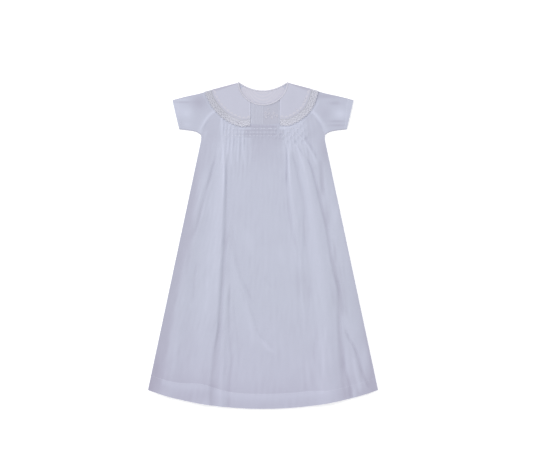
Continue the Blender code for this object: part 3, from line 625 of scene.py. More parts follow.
def heights(parts: tuple, x: Array, y: Array, start: Array | float = 0.0) -> Array:
    """What folds, creases or wrinkles add to a start."""
    return sum((part.height_at(x, y) for part in parts), start)


@dataclass(frozen=True)
class Shirring:
    """The gathered band at the chest; u is the distance from the centre over the half width."""

    pitch_u: float = 0.0582
    each_side: int = 11
    height: float = 1.9
    sharpness: float = 0.7
    top: float = 243.0
    bottom: float = 218.5
    fade: float = 6.0
    pinch_top: float = 238.0
    pinch_pitch: float = 7.5
    pinch_loss: float = 0.35
    clear: float = 0.5
    whole: float = 6.5
    gathers: tuple[tuple[float, float, float, float], ...] = (
        (-0.74, -0.20, 132.0, 0.46),
        (0.27, 0.78, 165.0, 0.62),
    )
    gather_edge: float = 0.1
    gather_top: Point = (249.0, 263.0)

    @property
    def end_u(self) -> float:
        """Where the pleats end, as a share of the half width."""
        return self.pitch_u * self.each_side

    def lean(self, u: Array, y: Array, k: Array) -> Array:
        """How far a pleat's crest leans to its neighbour.

        Args:
            u: Places across, as shares of the half width.
            y: Places along.
            k: The pleats' numbers.

        Returns:
            The lean, as a share of the pitch.
        """
        evenness = mix(0.3, 1.0, smooth(-0.2, 0.2, u))
        turn = np.pi * (self.pinch_top - y) / self.pinch_pitch
        settled = smooth(self.bottom - 30.0, self.bottom, y)
        return 0.25 * evenness * np.cos(turn) * settled * np.where(np.mod(k, 2.0) > 0.5, 1.0, -1.0)

    def profile(self, u: Array, y: Array) -> Array:
        """Shape of the pleats.

        Args:
            u: Places across, as shares of the half width.
            y: Places along.

        Returns:
            0 in a valley and 1 on a crest.
        """
        place = u / self.pitch_u - 0.5
        best = np.zeros_like(place)
        for step in (-1.0, 0.0, 1.0):
            k = np.round(place) + step
            away = np.abs(place - k - self.lean(u, y, k))
            best = np.maximum(best, 0.5 + 0.5 * np.cos(np.pi * np.clip(away * 2.0, 0.0, 1.0)))
        return best

    def strength(self, u: Array, y: Array) -> Array:
        """How strong the pleats are in the band and in the gathers under it.

        Args:
            u: Places across, as shares of the half width.
            y: Places along.

        Returns:
            The share of the full height.
        """
        across = 1.0 - smooth(self.end_u - self.pitch_u, self.end_u, np.abs(u))
        band = smooth(self.top + 2.0, self.top - 2.0, y)
        band = band * smooth(self.bottom - self.fade, self.bottom, y)
        row = 0.5 + 0.5 * np.cos(2.0 * np.pi * (self.pinch_top - y) / self.pinch_pitch)
        total = across * band * (1.0 - self.pinch_loss * row)
        left, right = smooth(0.42, 0.52, -u), smooth(0.10, 0.26, u)
        total = total * np.where(u < 0.0, mix(0.2, 0.5, left), mix(0.2, 0.62, right))
        for low, high, end_y, share in self.gathers:
            edge = smooth(low, low + self.gather_edge, u) * smooth(high, high - self.gather_edge, u)
            fall = smooth(end_y, self.bottom, y) * smooth(self.gather_top[1], self.gather_top[0], y)
            total = np.maximum(total, share * edge * fall)
        return total


SHIRRING = Shirring()


@dataclass(frozen=True)
class Drape:
    """Height of the front panel: its fullness, folds, creases and pleats."""

    fullness: float = 2.4
    fullness_top: float = 224.0
    fullness_whole: float = 186.0
    side_fall: float = 13.0
    side_growth: float = 0.025

    def fall(self, x: Array, y: Array) -> Array:
        """How the front comes down to the back at its side: 1 over the panel, 0 at its side."""
        width = self.side_fall + self.side_growth * (PATTERN.waist_y - y)
        return 1.0 - bell(np.maximum(PATTERN.side_x(y) - np.abs(x), 0.0), width)

    def folds(self, x: Array, y: Array) -> Array:
        """Fullness and broad folds, over the flat panel."""
        full = self.fullness * smooth(self.fullness_top, self.fullness_whole, y)
        return heights(FOLDS, x, y, full) * self.fall(x, y)

    def creases(self, x: Array, y: Array) -> Array:
        """Narrow troughs and ridges."""
        return heights(CREASES, x, y) * smooth(0.0, 0.6, self.fall(x, y))

    def clear_of_collar(self, x: Array, y: Array) -> Array:
        """Share of its height that the shirring keeps beside the collar.

        Args:
            x: Places across.
            y: Places along.

        Returns:
            0 where the collar holds the front down, and 1 clear of it.
        """
        front_x = np.where(x > 0.0, COLLAR.front_x_right, COLLAR.front_x_left)
        past = np.maximum(COLLAR.past_front(x, y), front_x - np.abs(x))
        return smooth(SHIRRING.clear, SHIRRING.whole, past)

    def pleats(self, x: Array, y: Array) -> Array:
        """Height of the shirring and of the gathers let out under it.

        Args:
            x: Places across.
            y: Places along.

        Returns:
            The height.
        """
        u = x / PATTERN.side_x(y)
        shape = SHIRRING.profile(u, y) ** SHIRRING.sharpness * SHIRRING.strength(u, y)
        return SHIRRING.height * shape * self.clear_of_collar(x, y)

    def smoothed(self, x: Array, y: Array) -> Array:
        """Upper face of the front without its pleats."""
        flat = LAYERS.front_floor(x, y) + LAYERS.cloth
        return flat + self.folds(x, y) + self.creases(x, y)

    def top(self, x: Array, y: Array) -> Array:
        """Upper face of the front."""
        return self.smoothed(x, y) + self.pleats(x, y)


DRAPE = Drape()


# ---------------------------------------------------------------- meshes


def grid_quads(rows: int, columns: int, wrap: bool = False) -> Array:
    """Faces of a grid whose points are numbered along its rows.

    Args:
        rows: Number of rows.
        columns: Number of points in a row.
        wrap: True where a row closes on itself.

    Returns:
        Four point numbers for each face, its upper side facing +Z where rows run down
        and columns run to the right.
    """
    across = np.arange(columns if wrap else columns - 1)
    r, c = np.meshgrid(np.arange(rows - 1), across, indexing="ij")
    after = (c + 1) % columns
    above, below = r * columns, (r + 1) * columns
    quads = (above + c, below + c, below + after, above + after)
    return np.stack(quads, axis=-1).reshape(-1, 4)


def tube_faces(rings: int, sides: int, closed: bool = False) -> list:
    """Faces of a tube.

    Args:
        rings: Number of rings.
        sides: Number of points in a ring.
        closed: True where the tube runs into its own start; its ends are capped otherwise.

    Returns:
        The faces.
    """
    faces = list(grid_quads(rings, sides, wrap=True))
    last = (rings - 1) * sides
    if closed:
        pairs = [(k, (k + 1) % sides) for k in range(sides)]
        return faces + [(last + k, k, after, last + after) for k, after in pairs]
    return faces + [tuple(range(sides)), tuple(last + k for k in range(sides))]


def zip_rows(a: Array, b: Array) -> list[tuple[int, int, int]]:
    """Triangles between two rows of points that run the same way.

    Args:
        a: Point numbers of one row.
        b: Point numbers of the other.

    Returns:
        The triangles.
    """
    faces = []
    i = j = 0
    while i < len(a) - 1 or j < len(b) - 1:
        next_a, next_b = (i + 1) * (len(b) - 1), (j + 1) * (len(a) - 1)
        if j == len(b) - 1 or (i < len(a) - 1 and next_a <= next_b):
            faces.append((a[i], b[j], a[i + 1]))
            i += 1
        else:
            faces.append((a[i], b[j], b[j + 1]))
            j += 1
    return faces


def border_of(quads: Array) -> Array:
    """Edges that only one face uses.

    Args:
        quads: Faces as rows of point numbers.

    Returns:
        The edges, in the direction in which their face runs.
    """
    edges = np.stack((quads, np.roll(quads, -1, axis=1)), axis=-1).reshape(-1, 2)
    _, index, count = np.unique(
        np.sort(edges, axis=1), axis=0, return_index=True, return_counts=True
    )
    return edges[index[count == 1]]


def linked(name: str, mesh: bpy.types.Mesh) -> Object:
    """Puts a mesh into the scene as an object.

    Args:
        name: The object's name.
        mesh: The mesh.

    Returns:
        The object.
    """
    made = bpy.data.objects.new(name, mesh)
    bpy.context.scene.collection.objects.link(made)
    return made


def baked(source: Object) -> bpy.types.Mesh:
    """An object's mesh with its modifiers applied."""
    view = bpy.context.evaluated_depsgraph_get()
    return bpy.data.meshes.new_from_object(source.evaluated_get(view), depsgraph=view)


@dataclass
class Draft:
    """Points, their tones and faces, gathered before a mesh is made of them."""

    points: list[Array] = field(default_factory=list)
    tones: list[Array] = field(default_factory=list)
    faces: list[tuple[int, ...]] = field(default_factory=list)
    count: int = 0

    def add(self, points: Array, faces: list | Array, tone: Array | float = 0.0) -> "Draft":
        """Adds points and the faces between them.

        Args:
            points: Points in millimetres.
            faces: Faces, numbered from the first of these points.
            tone: Tone at each point.

        Returns:
            The draft.
        """
        points = np.asarray(points, float).reshape(-1, 3)
        self.points.append(points)
        self.tones.append(np.broadcast_to(np.asarray(tone, float).ravel(), (len(points),)))
        self.faces.extend(tuple(int(v) + self.count for v in face) for face in faces)
        self.count += len(points)
        return self

    def add_tube(
        self,
        path: Array,
        width: Array | float,
        height: Array | float,
        up: Array | Triple = (0.0, 0.0, 1.0),
        sides: int = 6,
        closed: bool = False,
        tone: Array | float = 0.0,
    ) -> None:
        """Adds a cord with an oval section.

        Args:
            path: Points along its middle.
            width: Full width, across the surface it lies on.
            height: Full height.
            up: Direction out of the surface at each point.
            sides: Number of points round it.
            closed: True where the cord runs into its own start.
            tone: Tone at each point of the path.
        """
        count = len(path)
        if closed:
            along = np.roll(path, -1, axis=0) - np.roll(path, 1, axis=0)
        else:
            along = np.gradient(path, axis=0)
        across = unit(np.cross(unit(along), up))
        upward = unit(np.cross(across, unit(along)))
        half_w = np.broadcast_to(np.asarray(width, float) / 2.0, (count,))[:, None]
        half_h = np.broadcast_to(np.asarray(height, float) / 2.0, (count,))[:, None]
        rings = path[:, None] + across[:, None] * (half_w * np.cos(turns(sides)))[..., None]
        rings = rings + upward[:, None] * (half_h * np.sin(turns(sides)))[..., None]
        tones = np.repeat(np.broadcast_to(tone, (count,)), sides)
        self.add(rings, tube_faces(count, sides, closed), tones)

    def add_wall(self, upper: Array, lower: Array, quads: Array, tone: Array | float) -> "Draft":
        """Adds a closed wall between two layers of the same faces.

        Args:
            upper: Points of the upper layer.
            lower: Points of the lower layer.
            quads: Faces of a layer.
            tone: Tone at each point of a layer.

        Returns:
            The draft.
        """
        upper, lower = upper.reshape(-1, 3), lower.reshape(-1, 3)
        size = len(upper)
        faces = [*quads, *(quads[:, ::-1] + size)]
        faces += [(b, a, a + size, b + size) for a, b in border_of(quads)]
        tones = np.broadcast_to(np.ravel(tone), (size,))
        return self.add(np.concatenate((upper, lower)), faces, np.tile(tones, 2))

    def build(self, name: str, finish: Material, sharp: float = 60.0) -> Object:
        """Makes the object.

        Args:
            name: The object's name.
            finish: Its material.
            sharp: Angle in degrees from which an edge is sharp.

        Returns:
            The object.
        """
        mesh = bpy.data.meshes.new(name)
        mesh.from_pydata((np.concatenate(self.points) * MM).tolist(), [], self.faces)
        work = bmesh.new()
        work.from_mesh(mesh)
        bmesh.ops.recalc_face_normals(work, faces=work.faces[:])
        work.to_mesh(mesh)
        work.free()
        tone = mesh.attributes.new("tone", "FLOAT", "POINT")
        tone.data.foreach_set("value", np.concatenate(self.tones).astype(np.float32))
        mesh.shade_smooth()
        mesh.set_sharp_from_angle(angle=math.radians(sharp))
        mesh.materials.append(finish)
        log.info("%s: %d points, %d faces", name, len(mesh.vertices), len(mesh.polygons))
        return linked(name, mesh)


# ---------------------------------------------------------------- finishes


class Wire:
    """A shader value with arithmetic; each sum or product adds a Math node."""

    def __init__(self, graph: "Graph", socket: Socket) -> None:
        """Wraps an output socket of a graph."""
        self.graph = graph
        self.socket = socket

    def math(self, operation: str, *others: "Wire | float", first: bool = True) -> "Wire":
        """Adds a Math node, with this value first or last among its inputs."""
        values = [self, *others] if first else [*others, self]
        return self.graph.node("ShaderNodeMath", "Value", values, operation=operation)

    def __add__(self, other: "Wire | float") -> "Wire":
        """Sum of the two."""
        return self.math("ADD", other)

    def __radd__(self, other: float) -> "Wire":
        """Sum of the two."""
        return self.math("ADD", other)

    def __sub__(self, other: "Wire | float") -> "Wire":
        """This less the other."""
        return self.math("SUBTRACT", other)

    def __rsub__(self, other: float) -> "Wire":
        """The other less this."""
        return self.math("SUBTRACT", other, first=False)

    def __mul__(self, other: "Wire | float") -> "Wire":
        """Product of the two."""
        return self.math("MULTIPLY", other)

    def __rmul__(self, other: float) -> "Wire":
        """Product of the two."""
        return self.math("MULTIPLY", other)

    def __abs__(self) -> "Wire":
        """Size without sign."""
        return self.math("ABSOLUTE")

    def sine(self) -> "Wire":
        """Sine of the value in radians."""
        return self.math("SINE")

    def clamped(self) -> "Wire":
        """The value held between 0 and 1."""
        return self.graph.node("ShaderNodeClamp", "Result", [self])


def add_node(
    tree: bpy.types.NodeTree, kind: str, inputs: list | dict = (), **settings: object
) -> bpy.types.Node:
    """Adds a node to a tree.

    Args:
        tree: The tree.
        kind: The node's type.
        inputs: Its inputs, in order or by name; wires and sockets are linked, others are set.
        settings: Its properties.

    Returns:
        The node.
    """
    made = tree.nodes.new(kind)
    for name, value in settings.items():
        setattr(made, name, value)
    for key, value in inputs.items() if isinstance(inputs, dict) else enumerate(inputs):
        value = getattr(value, "socket", value)
        if isinstance(value, Socket):
            tree.links.new(value, made.inputs[key])
        else:
            made.inputs[key].default_value = value
    return made


class Graph:
    """The node graph of a material, ending in one Principled BSDF."""

    def __init__(self, name: str) -> None:
        """Makes the material.

        Args:
            name: The material's name.
        """
        self.material = bpy.data.materials.new(name)
        self.material.use_nodes = True
        self.tree = self.material.node_tree
        self.shader = self.tree.nodes["Principled BSDF"]

    def node(self, kind: str, output: str, inputs: list | dict = (), **settings: object) -> Wire:
        """Adds a node as add_node does and gives one of its outputs."""
        return Wire(self, add_node(self.tree, kind, inputs, **settings).outputs[output])

    def blend(self, factor: Wire, a: "Wire | Triple", b: "Wire | Triple") -> Wire:
        """Mixes two colours.

        Args:
            factor: Share of the second colour.
            a: The first colour.
            b: The second colour.

        Returns:
            The mixed colour.
        """
        made = add_node(self.tree, "ShaderNodeMix", data_type="RGBA")
        for identifier, value in (("Factor_Float", factor), ("A_Color", a), ("B_Color", b)):
            socket = next(s for s in made.inputs if s.identifier == identifier)
            if isinstance(value, Wire):
                self.tree.links.new(value.socket, socket)
            else:
                socket.default_value = (*value, 1.0)
        return Wire(self, next(s for s in made.outputs if s.identifier == "Result_Color"))

    def tint(self, colour: Wire, by: Wire) -> Wire:
        """One colour times another."""
        return self.node("ShaderNodeVectorMath", "Vector", [colour, by], operation="MULTIPLY")

    def tone(self) -> Wire:
        """The tone that each point of the mesh carries."""
        return self.node("ShaderNodeAttribute", "Fac", attribute_name="tone")

    def coordinates(self) -> Wire:
        """Object coordinates, in metres."""
        return self.node("ShaderNodeTexCoord", "Object")

    def noise(self, scale: float, detail: float) -> Wire:
        """Soft noise in object coordinates."""
        inputs = {"Vector": self.coordinates(), "Scale": scale, "Detail": detail}
        return self.node("ShaderNodeTexNoise", "Fac", inputs)

    def place(self) -> tuple[Wire, ...]:
        """Object coordinates, each by itself."""
        split = add_node(self.tree, "ShaderNodeSeparateXYZ", [self.coordinates()])
        return tuple(Wire(self, out) for out in split.outputs)

    def bump(self, strength: float, height: Wire) -> None:
        """Raises the surface by up to a tenth of a millimetre."""
        inputs = {"Strength": strength, "Distance": 0.1 * MM, "Height": height}
        self.feed(Normal=self.node("ShaderNodeBump", "Normal", inputs))

    def feed(self, **values: Wire | float | tuple) -> None:
        """Sets or links inputs of the shader.

        Args:
            values: What goes into each, by its name with _ for a space.
        """
        for name, value in values.items():
            socket = self.shader.inputs[name.replace("_", " ")]
            if isinstance(value, Wire):
                self.tree.links.new(value.socket, socket)
            else:
                socket.default_value = value


WHITE = (1.0, 1.0, 1.0)


def scaled(colour: Triple, by: float) -> Triple:
    """A colour made lighter or darker."""
    return tuple(min(channel * by, 0.95) for channel in colour)


@dataclass(frozen=True)
class ClothFinish:
    """Thin plain-weave cotton, whiter for two layers and for painted light, darker for painted
    shade.
    """

    name: str
    colour: Triple = (0.472, 0.490, 0.592)
    # Colour factors where the tone is above 0 (two layers and painted light) and below 0 (painted
    # shade).
    doubled_and_lit: Triple = (1.21, 1.21, 1.21)
    painted_shade: Triple = (0.763, 0.725, 0.752)
    painted_shade_at: float = -1.6
    blush: Triple = (1.0, 0.977, 1.0)
    blush_from: float = -0.12
    blush_to: float = -0.29
    thread: float = 0.45
    weave: float = 0.12
    mottle: float = 0.5
    patches: Point = (22.0, 3.0)
    roughness: float = 0.88
    sheen: float = 0.05

    def make(self) -> Material:
        """Makes the material.

        Returns:
            The material.
        """
        graph = Graph(self.name)
        tone = graph.tone() + (graph.noise(*self.patches) - 0.5) * self.mottle
        whitened = tuple(a * b for a, b in zip(self.colour, self.doubled_and_lit))
        lit = graph.blend((tone * 0.5).clamped(), self.colour, whitened)
        down = graph.blend((tone * (1.0 / self.painted_shade_at)).clamped(), WHITE, self.painted_shade)
        x, y, _ = graph.place()
        low = ((self.blush_from - y) * (1.0 / (self.blush_from - self.blush_to))).clamped()
        colour = graph.tint(graph.tint(lit, down), graph.blend(low, WHITE, self.blush))
        step = 2.0 * math.pi / (self.thread * MM)
        graph.bump(self.weave, abs((x * step).sine()) * 0.5 + abs((y * step).sine()) * 0.5)
        graph.feed(Base_Color=colour, Roughness=self.roughness, Sheen_Weight=self.sheen)
        return graph.material


@dataclass(frozen=True)
class ThreadFinish:
    """Twisted cotton thread of the lace, embroidery and stitches, darker by its tone as painted
    shade.
    """

    name: str
    colour: Triple
    twist: float = 0.9
    # Painted light and shade of the twist: lighter on the ply's ridges, darker in its grooves.
    light: float = 1.03
    dark: float = 0.97
    relief: float = 0.15
    painted_shade: float = 0.72
    painted_shade_at: float = -2.0
    roughness: float = 0.8

    def make(self) -> Material:
        """Makes the material.

        Returns:
            The material.
        """
        graph = Graph(self.name)
        x, y, z = graph.place()
        lay = ((x + y + z) * (2.0 * math.pi / (self.twist * MM))).sine()
        light, dark = scaled(self.colour, self.light), scaled(self.colour, self.dark)
        twisted = graph.blend((lay * 0.5 + 0.5).clamped(), dark, light)
        low = (graph.tone() * (1.0 / self.painted_shade_at)).clamped()
        colour = graph.blend(low, twisted, scaled(self.colour, self.painted_shade))
        graph.bump(self.relief, lay)
        graph.feed(Base_Color=colour, Roughness=self.roughness)
        return graph.material


@dataclass(frozen=True)
class ShellFinish:
    """Pale shell-like button with a faint cloud in it."""

    name: str = "button_shell"
    colour: Triple = (0.62, 0.62, 0.60)
    roughness: float = 0.3
    coat: float = 0.4
    clouds: Point = (260.0, 2.0)

    def make(self) -> Material:
        """Makes the material.

        Returns:
            The material.
        """
        graph = Graph(self.name)
        cloud = graph.blend(graph.noise(*self.clouds), self.colour, scaled(self.colour, 1.15))
        graph.feed(Base_Color=cloud, Roughness=self.roughness, Coat_Weight=self.coat)
        return graph.material


@dataclass(frozen=True)
class FloorFinish:
    """Plain pale floor with a faint glow, as of a light table."""

    name: str = "floor"
    colour: tuple[float, ...] = (0.97, 0.97, 0.97, 1.0)
    glow: float = 0.22
    roughness: float = 0.95

    def make(self) -> Material:
        """Makes the material.

        Returns:
            The material.
        """
        graph = Graph(self.name)
        graph.feed(Base_Color=self.colour, Roughness=self.roughness)
        graph.feed(Emission_Color=(*WHITE, 1.0), Emission_Strength=self.glow)
        return graph.material


class Finishes:
    """The materials that the pieces share."""

    def __init__(self) -> None:
        """Makes them all."""
        self.cotton = ClothFinish("cotton_batiste").make()
        self.back = ClothFinish("back_batiste", doubled_and_lit=(1.36, 1.22, 1.10)).make()
        self.yoke = ClothFinish("yoke_batiste", (0.476, 0.488, 0.578)).make()
        self.collar = ClothFinish("collar_batiste", (0.478, 0.485, 0.580)).make()
        self.binding = ClothFinish("binding_cotton", (0.520, 0.515, 0.590)).make()
        self.lace = ThreadFinish("lace_cotton", (0.596, 0.6, 0.682)).make()
        self.thread = ThreadFinish("sewing_thread", (0.64, 0.65, 0.74)).make()
        self.satin = ThreadFinish("satin_stitch", (0.570, 0.565, 0.645), twist=0.6).make()
        self.shell = ShellFinish().make()


# ---------------------------------------------------------------- pieces and stitches


def settle(
    made: Object,
    node: str | None,
    slot: str,
) -> None:
    """Attaches a finished piece to the root body and hides the CAD node that it stands for.

    Args:
        made: The piece.
        node: CAD node that it stands for, if any.
        slot: Not used.
    """
    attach(made, "root")
    if node:
        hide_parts(node)


@dataclass(frozen=True)
class StitchKind:
    """Size of one stitch and how unevenly it is repeated."""

    length: float
    width: float
    height: float
    unevenness: float = 0.12
    seed: int = 4


class StitchRun:
    """Stitches set out by a node tree on marked points."""

    INPUTS = {
        "Length": "Float",
        "Width": "Float",
        "Height": "Float",
        "Unevenness": "Float",
        "Seed": "Int",
        "Thread": "Material",
    }

    def __init__(self, name: str, kind: StitchKind) -> None:
        """Starts an empty run.

        Args:
            name: Name of the piece that it makes.
            kind: The stitch.
        """
        self.name = name
        self.kind = kind
        self.places: list[Array] = []
        self.turns: list[Array] = []
        self.spans: list[Array] = []

    def along(self, path: Array, pitch: float) -> None:
        """Sets stitches one after another along a line.

        Args:
            path: Points of the line.
            pitch: Distance from one stitch to the next.
        """
        run = run_of(path)
        marks = np.arange(pitch / 2.0, run[-1], pitch)
        place, ahead, behind = (
            np.stack([np.interp(marks + step, run, path[:, k]) for k in range(3)], axis=1)
            for step in (0.0, 0.4, -0.4)
        )
        self.at(place, ahead - behind)

    def at(self, places: Array, headings: Array | Triple, span: Array | float = 1.0) -> None:
        """Sets stitches at given places.

        Args:
            places: Their middles.
            headings: Directions in which they lie.
            span: Their lengths as shares of the usual one.
        """
        headings = np.broadcast_to(headings, places.shape)
        turn = np.zeros_like(places)
        turn[:, 1] = -np.arctan2(headings[:, 2], np.hypot(headings[:, 0], headings[:, 1]))
        turn[:, 2] = np.arctan2(headings[:, 1], headings[:, 0])
        self.places.append(places)
        self.turns.append(turn)
        self.spans.append(np.broadcast_to(np.asarray(span, float), (len(places),)))

    def tree(self) -> bpy.types.GeometryNodeTree:
        """Builds the node tree: a rounded bar on every point, made real.

        Returns:
            The tree.
        """
        tree = bpy.data.node_groups.new(f"{self.name}_tree", "GeometryNodeTree")
        socket = tree.interface.new_socket
        socket("Geometry", in_out="INPUT", socket_type="NodeSocketGeometry")
        for name, kind in self.INPUTS.items():
            socket(name, in_out="INPUT", socket_type=f"NodeSocket{kind}")
        socket("Geometry", in_out="OUTPUT", socket_type="NodeSocketGeometry")
        add = partial(add_node, tree)
        given = add("NodeGroupInput").outputs
        sphere = {"Segments": 7, "Rings": 5, "Radius": 0.5}
        ball = add("GeometryNodeMeshUVSphere", sphere).outputs[0]
        lengths = [given[name] for name in ("Length", "Width", "Height")]
        size = add("ShaderNodeCombineXYZ", lengths).outputs[0]
        shape = add("GeometryNodeTransform", {"Geometry": ball, "Scale": size}).outputs[0]
        marked = partial(add, "GeometryNodeInputNamedAttribute")
        turn = marked({"Name": "turn"}, data_type="FLOAT_VECTOR").outputs["Attribute"]
        rotation = add("FunctionNodeEulerToRotation", [turn]).outputs[0]
        span = marked({"Name": "span"}, data_type="FLOAT").outputs["Attribute"]
        maths = partial(add, "ShaderNodeMath")
        least = maths([1.0, given["Unevenness"]], operation="SUBTRACT").outputs[0]
        most = maths([1.0, given["Unevenness"]], operation="ADD").outputs[0]
        limits = {2: least, 3: most, "Seed": given["Seed"]}
        chance = add("FunctionNodeRandomValue", limits, data_type="FLOAT").outputs[1]
        product = maths([span, chance], operation="MULTIPLY").outputs[0]
        scale = add("ShaderNodeCombineXYZ", [product, chance, 1.0]).outputs[0]
        where = {"Points": given["Geometry"], "Instance": shape, "Rotation": rotation}
        points = add("GeometryNodeInstanceOnPoints", {**where, "Scale": scale}).outputs[0]
        real = add("GeometryNodeRealizeInstances", [points]).outputs[0]
        paint = {"Geometry": real, "Material": given["Thread"]}
        add("NodeGroupOutput", [add("GeometryNodeSetMaterial", paint).outputs[0]])
        return tree

    def build(self, finish: Material, slot: str) -> None:
        """Makes the stitches as one plain mesh.

        Args:
            finish: Their material.
            slot: Their material slot.
        """
        places = np.concatenate(self.places)
        seeds = bpy.data.meshes.new(f"{self.name}_points")
        seeds.from_pydata((places * MM).tolist(), [], [])
        turn = seeds.attributes.new("turn", "FLOAT_VECTOR", "POINT")
        turn.data.foreach_set("vector", np.concatenate(self.turns).ravel().astype(np.float32))
        span = seeds.attributes.new("span", "FLOAT", "POINT")
        span.data.foreach_set("value", np.concatenate(self.spans).astype(np.float32))
        base = linked(f"{self.name}_points", seeds)
        tree = self.tree()
        modifier = base.modifiers.new("stitches", "NODES")
        modifier.node_group = tree
        kind = self.kind
        sizes = (kind.length * MM, kind.width * MM, kind.height * MM)
        values = dict(zip(self.INPUTS, (*sizes, kind.unevenness, kind.seed, finish)))
        for item in tree.interface.items_tree:
            if item.in_out == "INPUT" and item.name in values:
                modifier[item.identifier] = values[item.name]
        mesh = baked(base)
        mesh.name = self.name
        bpy.data.objects.remove(base, do_unlink=True)
        bpy.data.node_groups.remove(tree)
        mesh.shade_smooth()
        log.info("%s: %d stitches, %d faces", self.name, len(places), len(mesh.polygons))
        settle(linked(self.name, mesh), None, slot)


@dataclass(frozen=True)
class Piece:
    """A piece of the gown, which is made in the shared finishes."""

    finishes: Finishes


# ---------------------------------------------------------------- front, yoke and back


@dataclass(frozen=True)
class FrontPanel(Piece):
    """The shirred front, one panel from the yoke seam and the raglans to the hem."""

    pleat_steps: int = 9
    seam_steps: int = 26
    raglan_steps: int = 18
    chest_rows: int = 33
    chest_bottom: float = 212.0
    skirt_rows: tuple[tuple[float, int], ...] = ((0.121, 36), (0.985, 126), (1.0, 6))
    fan_end: float = 0.6
    hem_marks: tuple[float, ...] = (
        30.4, 29.8, 29.0, 27.5, 25.0, 22.0, 18.5, 14.5, 10.5, 6.5, 2.5, 0.0
    )
    hem_rise: float = 0.3
    hem_groove: Point = (1.5, 0.9)
    thin: float = 0.5
    ripple_height: float = 0.12
    streak_height: float = 0.14
    shade_height: float = 0.25
    spare: tuple[int, int] = (3, 2)
    smocked_y: float = 237.6
    smocked_pitch: float = 7.75
    low_skirt: Point = (-20.0, -300.0)
    crushed_x: Point = (118.0, 150.0)
    # Tone factors: painted shade in troughs and painted light on crests of the creases, folds,
    # streaks, let-out gathers and smocked rows.
    crease_tone: Point = (0.7, 0.3)
    fold_tone: float = 0.12
    streak_tone: float = 0.22
    released_tone: float = 0.42
    rows_tone: float = 0.3
    painted_rim_width: float = 3.0

    def seam_top(self, x: Array) -> Array:
        """Points of the upper edge, just under the yoke seam."""
        return np.stack((x, PATTERN.yoke_seam_y(x) - PATTERN.seam_gap), axis=1)

    def half_columns(self) -> tuple[Array, Array, Array]:
        """Lays out the columns of the right half.

        Returns:
            Their top points, and their shares of the half width at the top and at the hem.
        """
        count = SHIRRING.each_side * self.pleat_steps
        u = np.linspace(0.0, SHIRRING.end_u, count + 1)
        x = np.zeros_like(u)
        for _ in range(6):
            x = u * PATTERN.side_x(self.seam_top(x)[:, 1])
        start, share = PATTERN.raglan_start(True), PATTERN.yoke_corner()
        seam = np.linspace(x[-1], PATTERN.raglan(start, share)[0], self.seam_steps + 1)[1:]
        shares = np.linspace(share, 1.0, self.raglan_steps + 1)[1:]
        top = np.concatenate((self.seam_top(x), self.seam_top(seam), PATTERN.raglan(start, shares)))
        u_top = top[:, 0] / PATTERN.side_x(top[:, 1])
        outer = np.linspace(SHIRRING.end_u, 1.0, len(top) - count)
        return top, u_top, np.concatenate((u_top[:count], outer))

    def plan(self) -> tuple[Array, Array, Array]:
        """Lays out the grid.

        Returns:
            Places of its points across and along, and their distances above the hem's edge.
        """
        top, u_top, u_hem = self.half_columns()
        size = len(top)
        sign = np.concatenate((-np.ones(size - 1), np.ones(size)))
        both = np.concatenate((np.arange(size - 1, 0, -1), np.arange(size)))
        y_top, u_top, u_hem = top[both, 1], u_top[both], u_hem[both]
        rows_x, rows_y = [top[both, 0]], [y_top]
        for share in np.linspace(0.0, 1.0, self.chest_rows + 1)[1:]:
            rows_y.append(mix(y_top, self.chest_bottom, share))
            rows_x.append(u_top * PATTERN.side_x(rows_y[-1]))
        start = 0.0
        for end, count in self.skirt_rows:
            for share in np.linspace(start, end, count + 1)[1:]:
                u = mix(u_top, u_hem, smooth(0.0, self.fan_end, share))
                x_hem = u * PATTERN.hem_half_width
                bottom = PATTERN.hem_y(x_hem) + PATTERN.front_hem_band(x_hem * sign)
                rows_y.append(mix(self.chest_bottom, bottom, share))
                rows_x.append(u * PATTERN.side_x(rows_y[-1]))
            start = end
        x_hem = u_hem * PATTERN.hem_half_width
        edge, scale = PATTERN.hem_y(x_hem), PATTERN.front_hem_band(x_hem * sign) / PATTERN.hem_band
        for above in self.hem_marks:
            rows_y.append(edge + above * scale)
            rows_x.append(u_hem * PATTERN.side_x(rows_y[-1]))
        x, y = np.array(rows_x) * sign, np.array(rows_y)
        return x, y, (y - edge) / scale

    def pleat_tone(self, x: Array, y: Array) -> Array:
        """Painted light and shade on the shirred bands, the rows across the middle and the let-out
        gathers.

        Args:
            x: Places across.
            y: Places along.

        Returns:
            The tone.
        """
        inner = np.where(y > 219.0, smooth(-55.0, -62.0, x), smooth(-18.0, -32.0, x))
        gathered = np.where(x < 0.0, inner, smooth(38.0, 46.0, x)) * smooth(94.0, 76.0, np.abs(x))
        left, right = 0.75 * smooth(150.0, 232.0, y), 0.9 * smooth(178.0, 228.0, y)
        pleat = gathered * smooth(262.0, 246.0, y) * np.where(x < 0.0, left, right)
        u = x / PATTERN.side_x(y)
        released = smooth(80.0, 190.0, y) * smooth(236.0, 214.0, y)
        released = released * (smooth(-0.18, -0.28, u) + 0.6 * smooth(0.3, 0.4, u))
        wave = SHIRRING.profile(u, y) - 0.5
        pleat = pleat + self.released_tone * released * smooth(0.78, 0.66, np.abs(u)) * wave
        middle = smooth(-62.0, -54.0, x) * smooth(30.0, 24.0, x) * smooth(246.0, 243.0, y)
        rows = np.cos(2.0 * np.pi * (y - self.smocked_y) / self.smocked_pitch)
        light = self.rows_tone * rows - 0.25 - 0.35 * bell(y - 241.5, 3.0)
        light = light + 0.75 * smooth(-33.0, -42.0, x)
        return pleat + middle * smooth(218.0, 221.0, y) * light

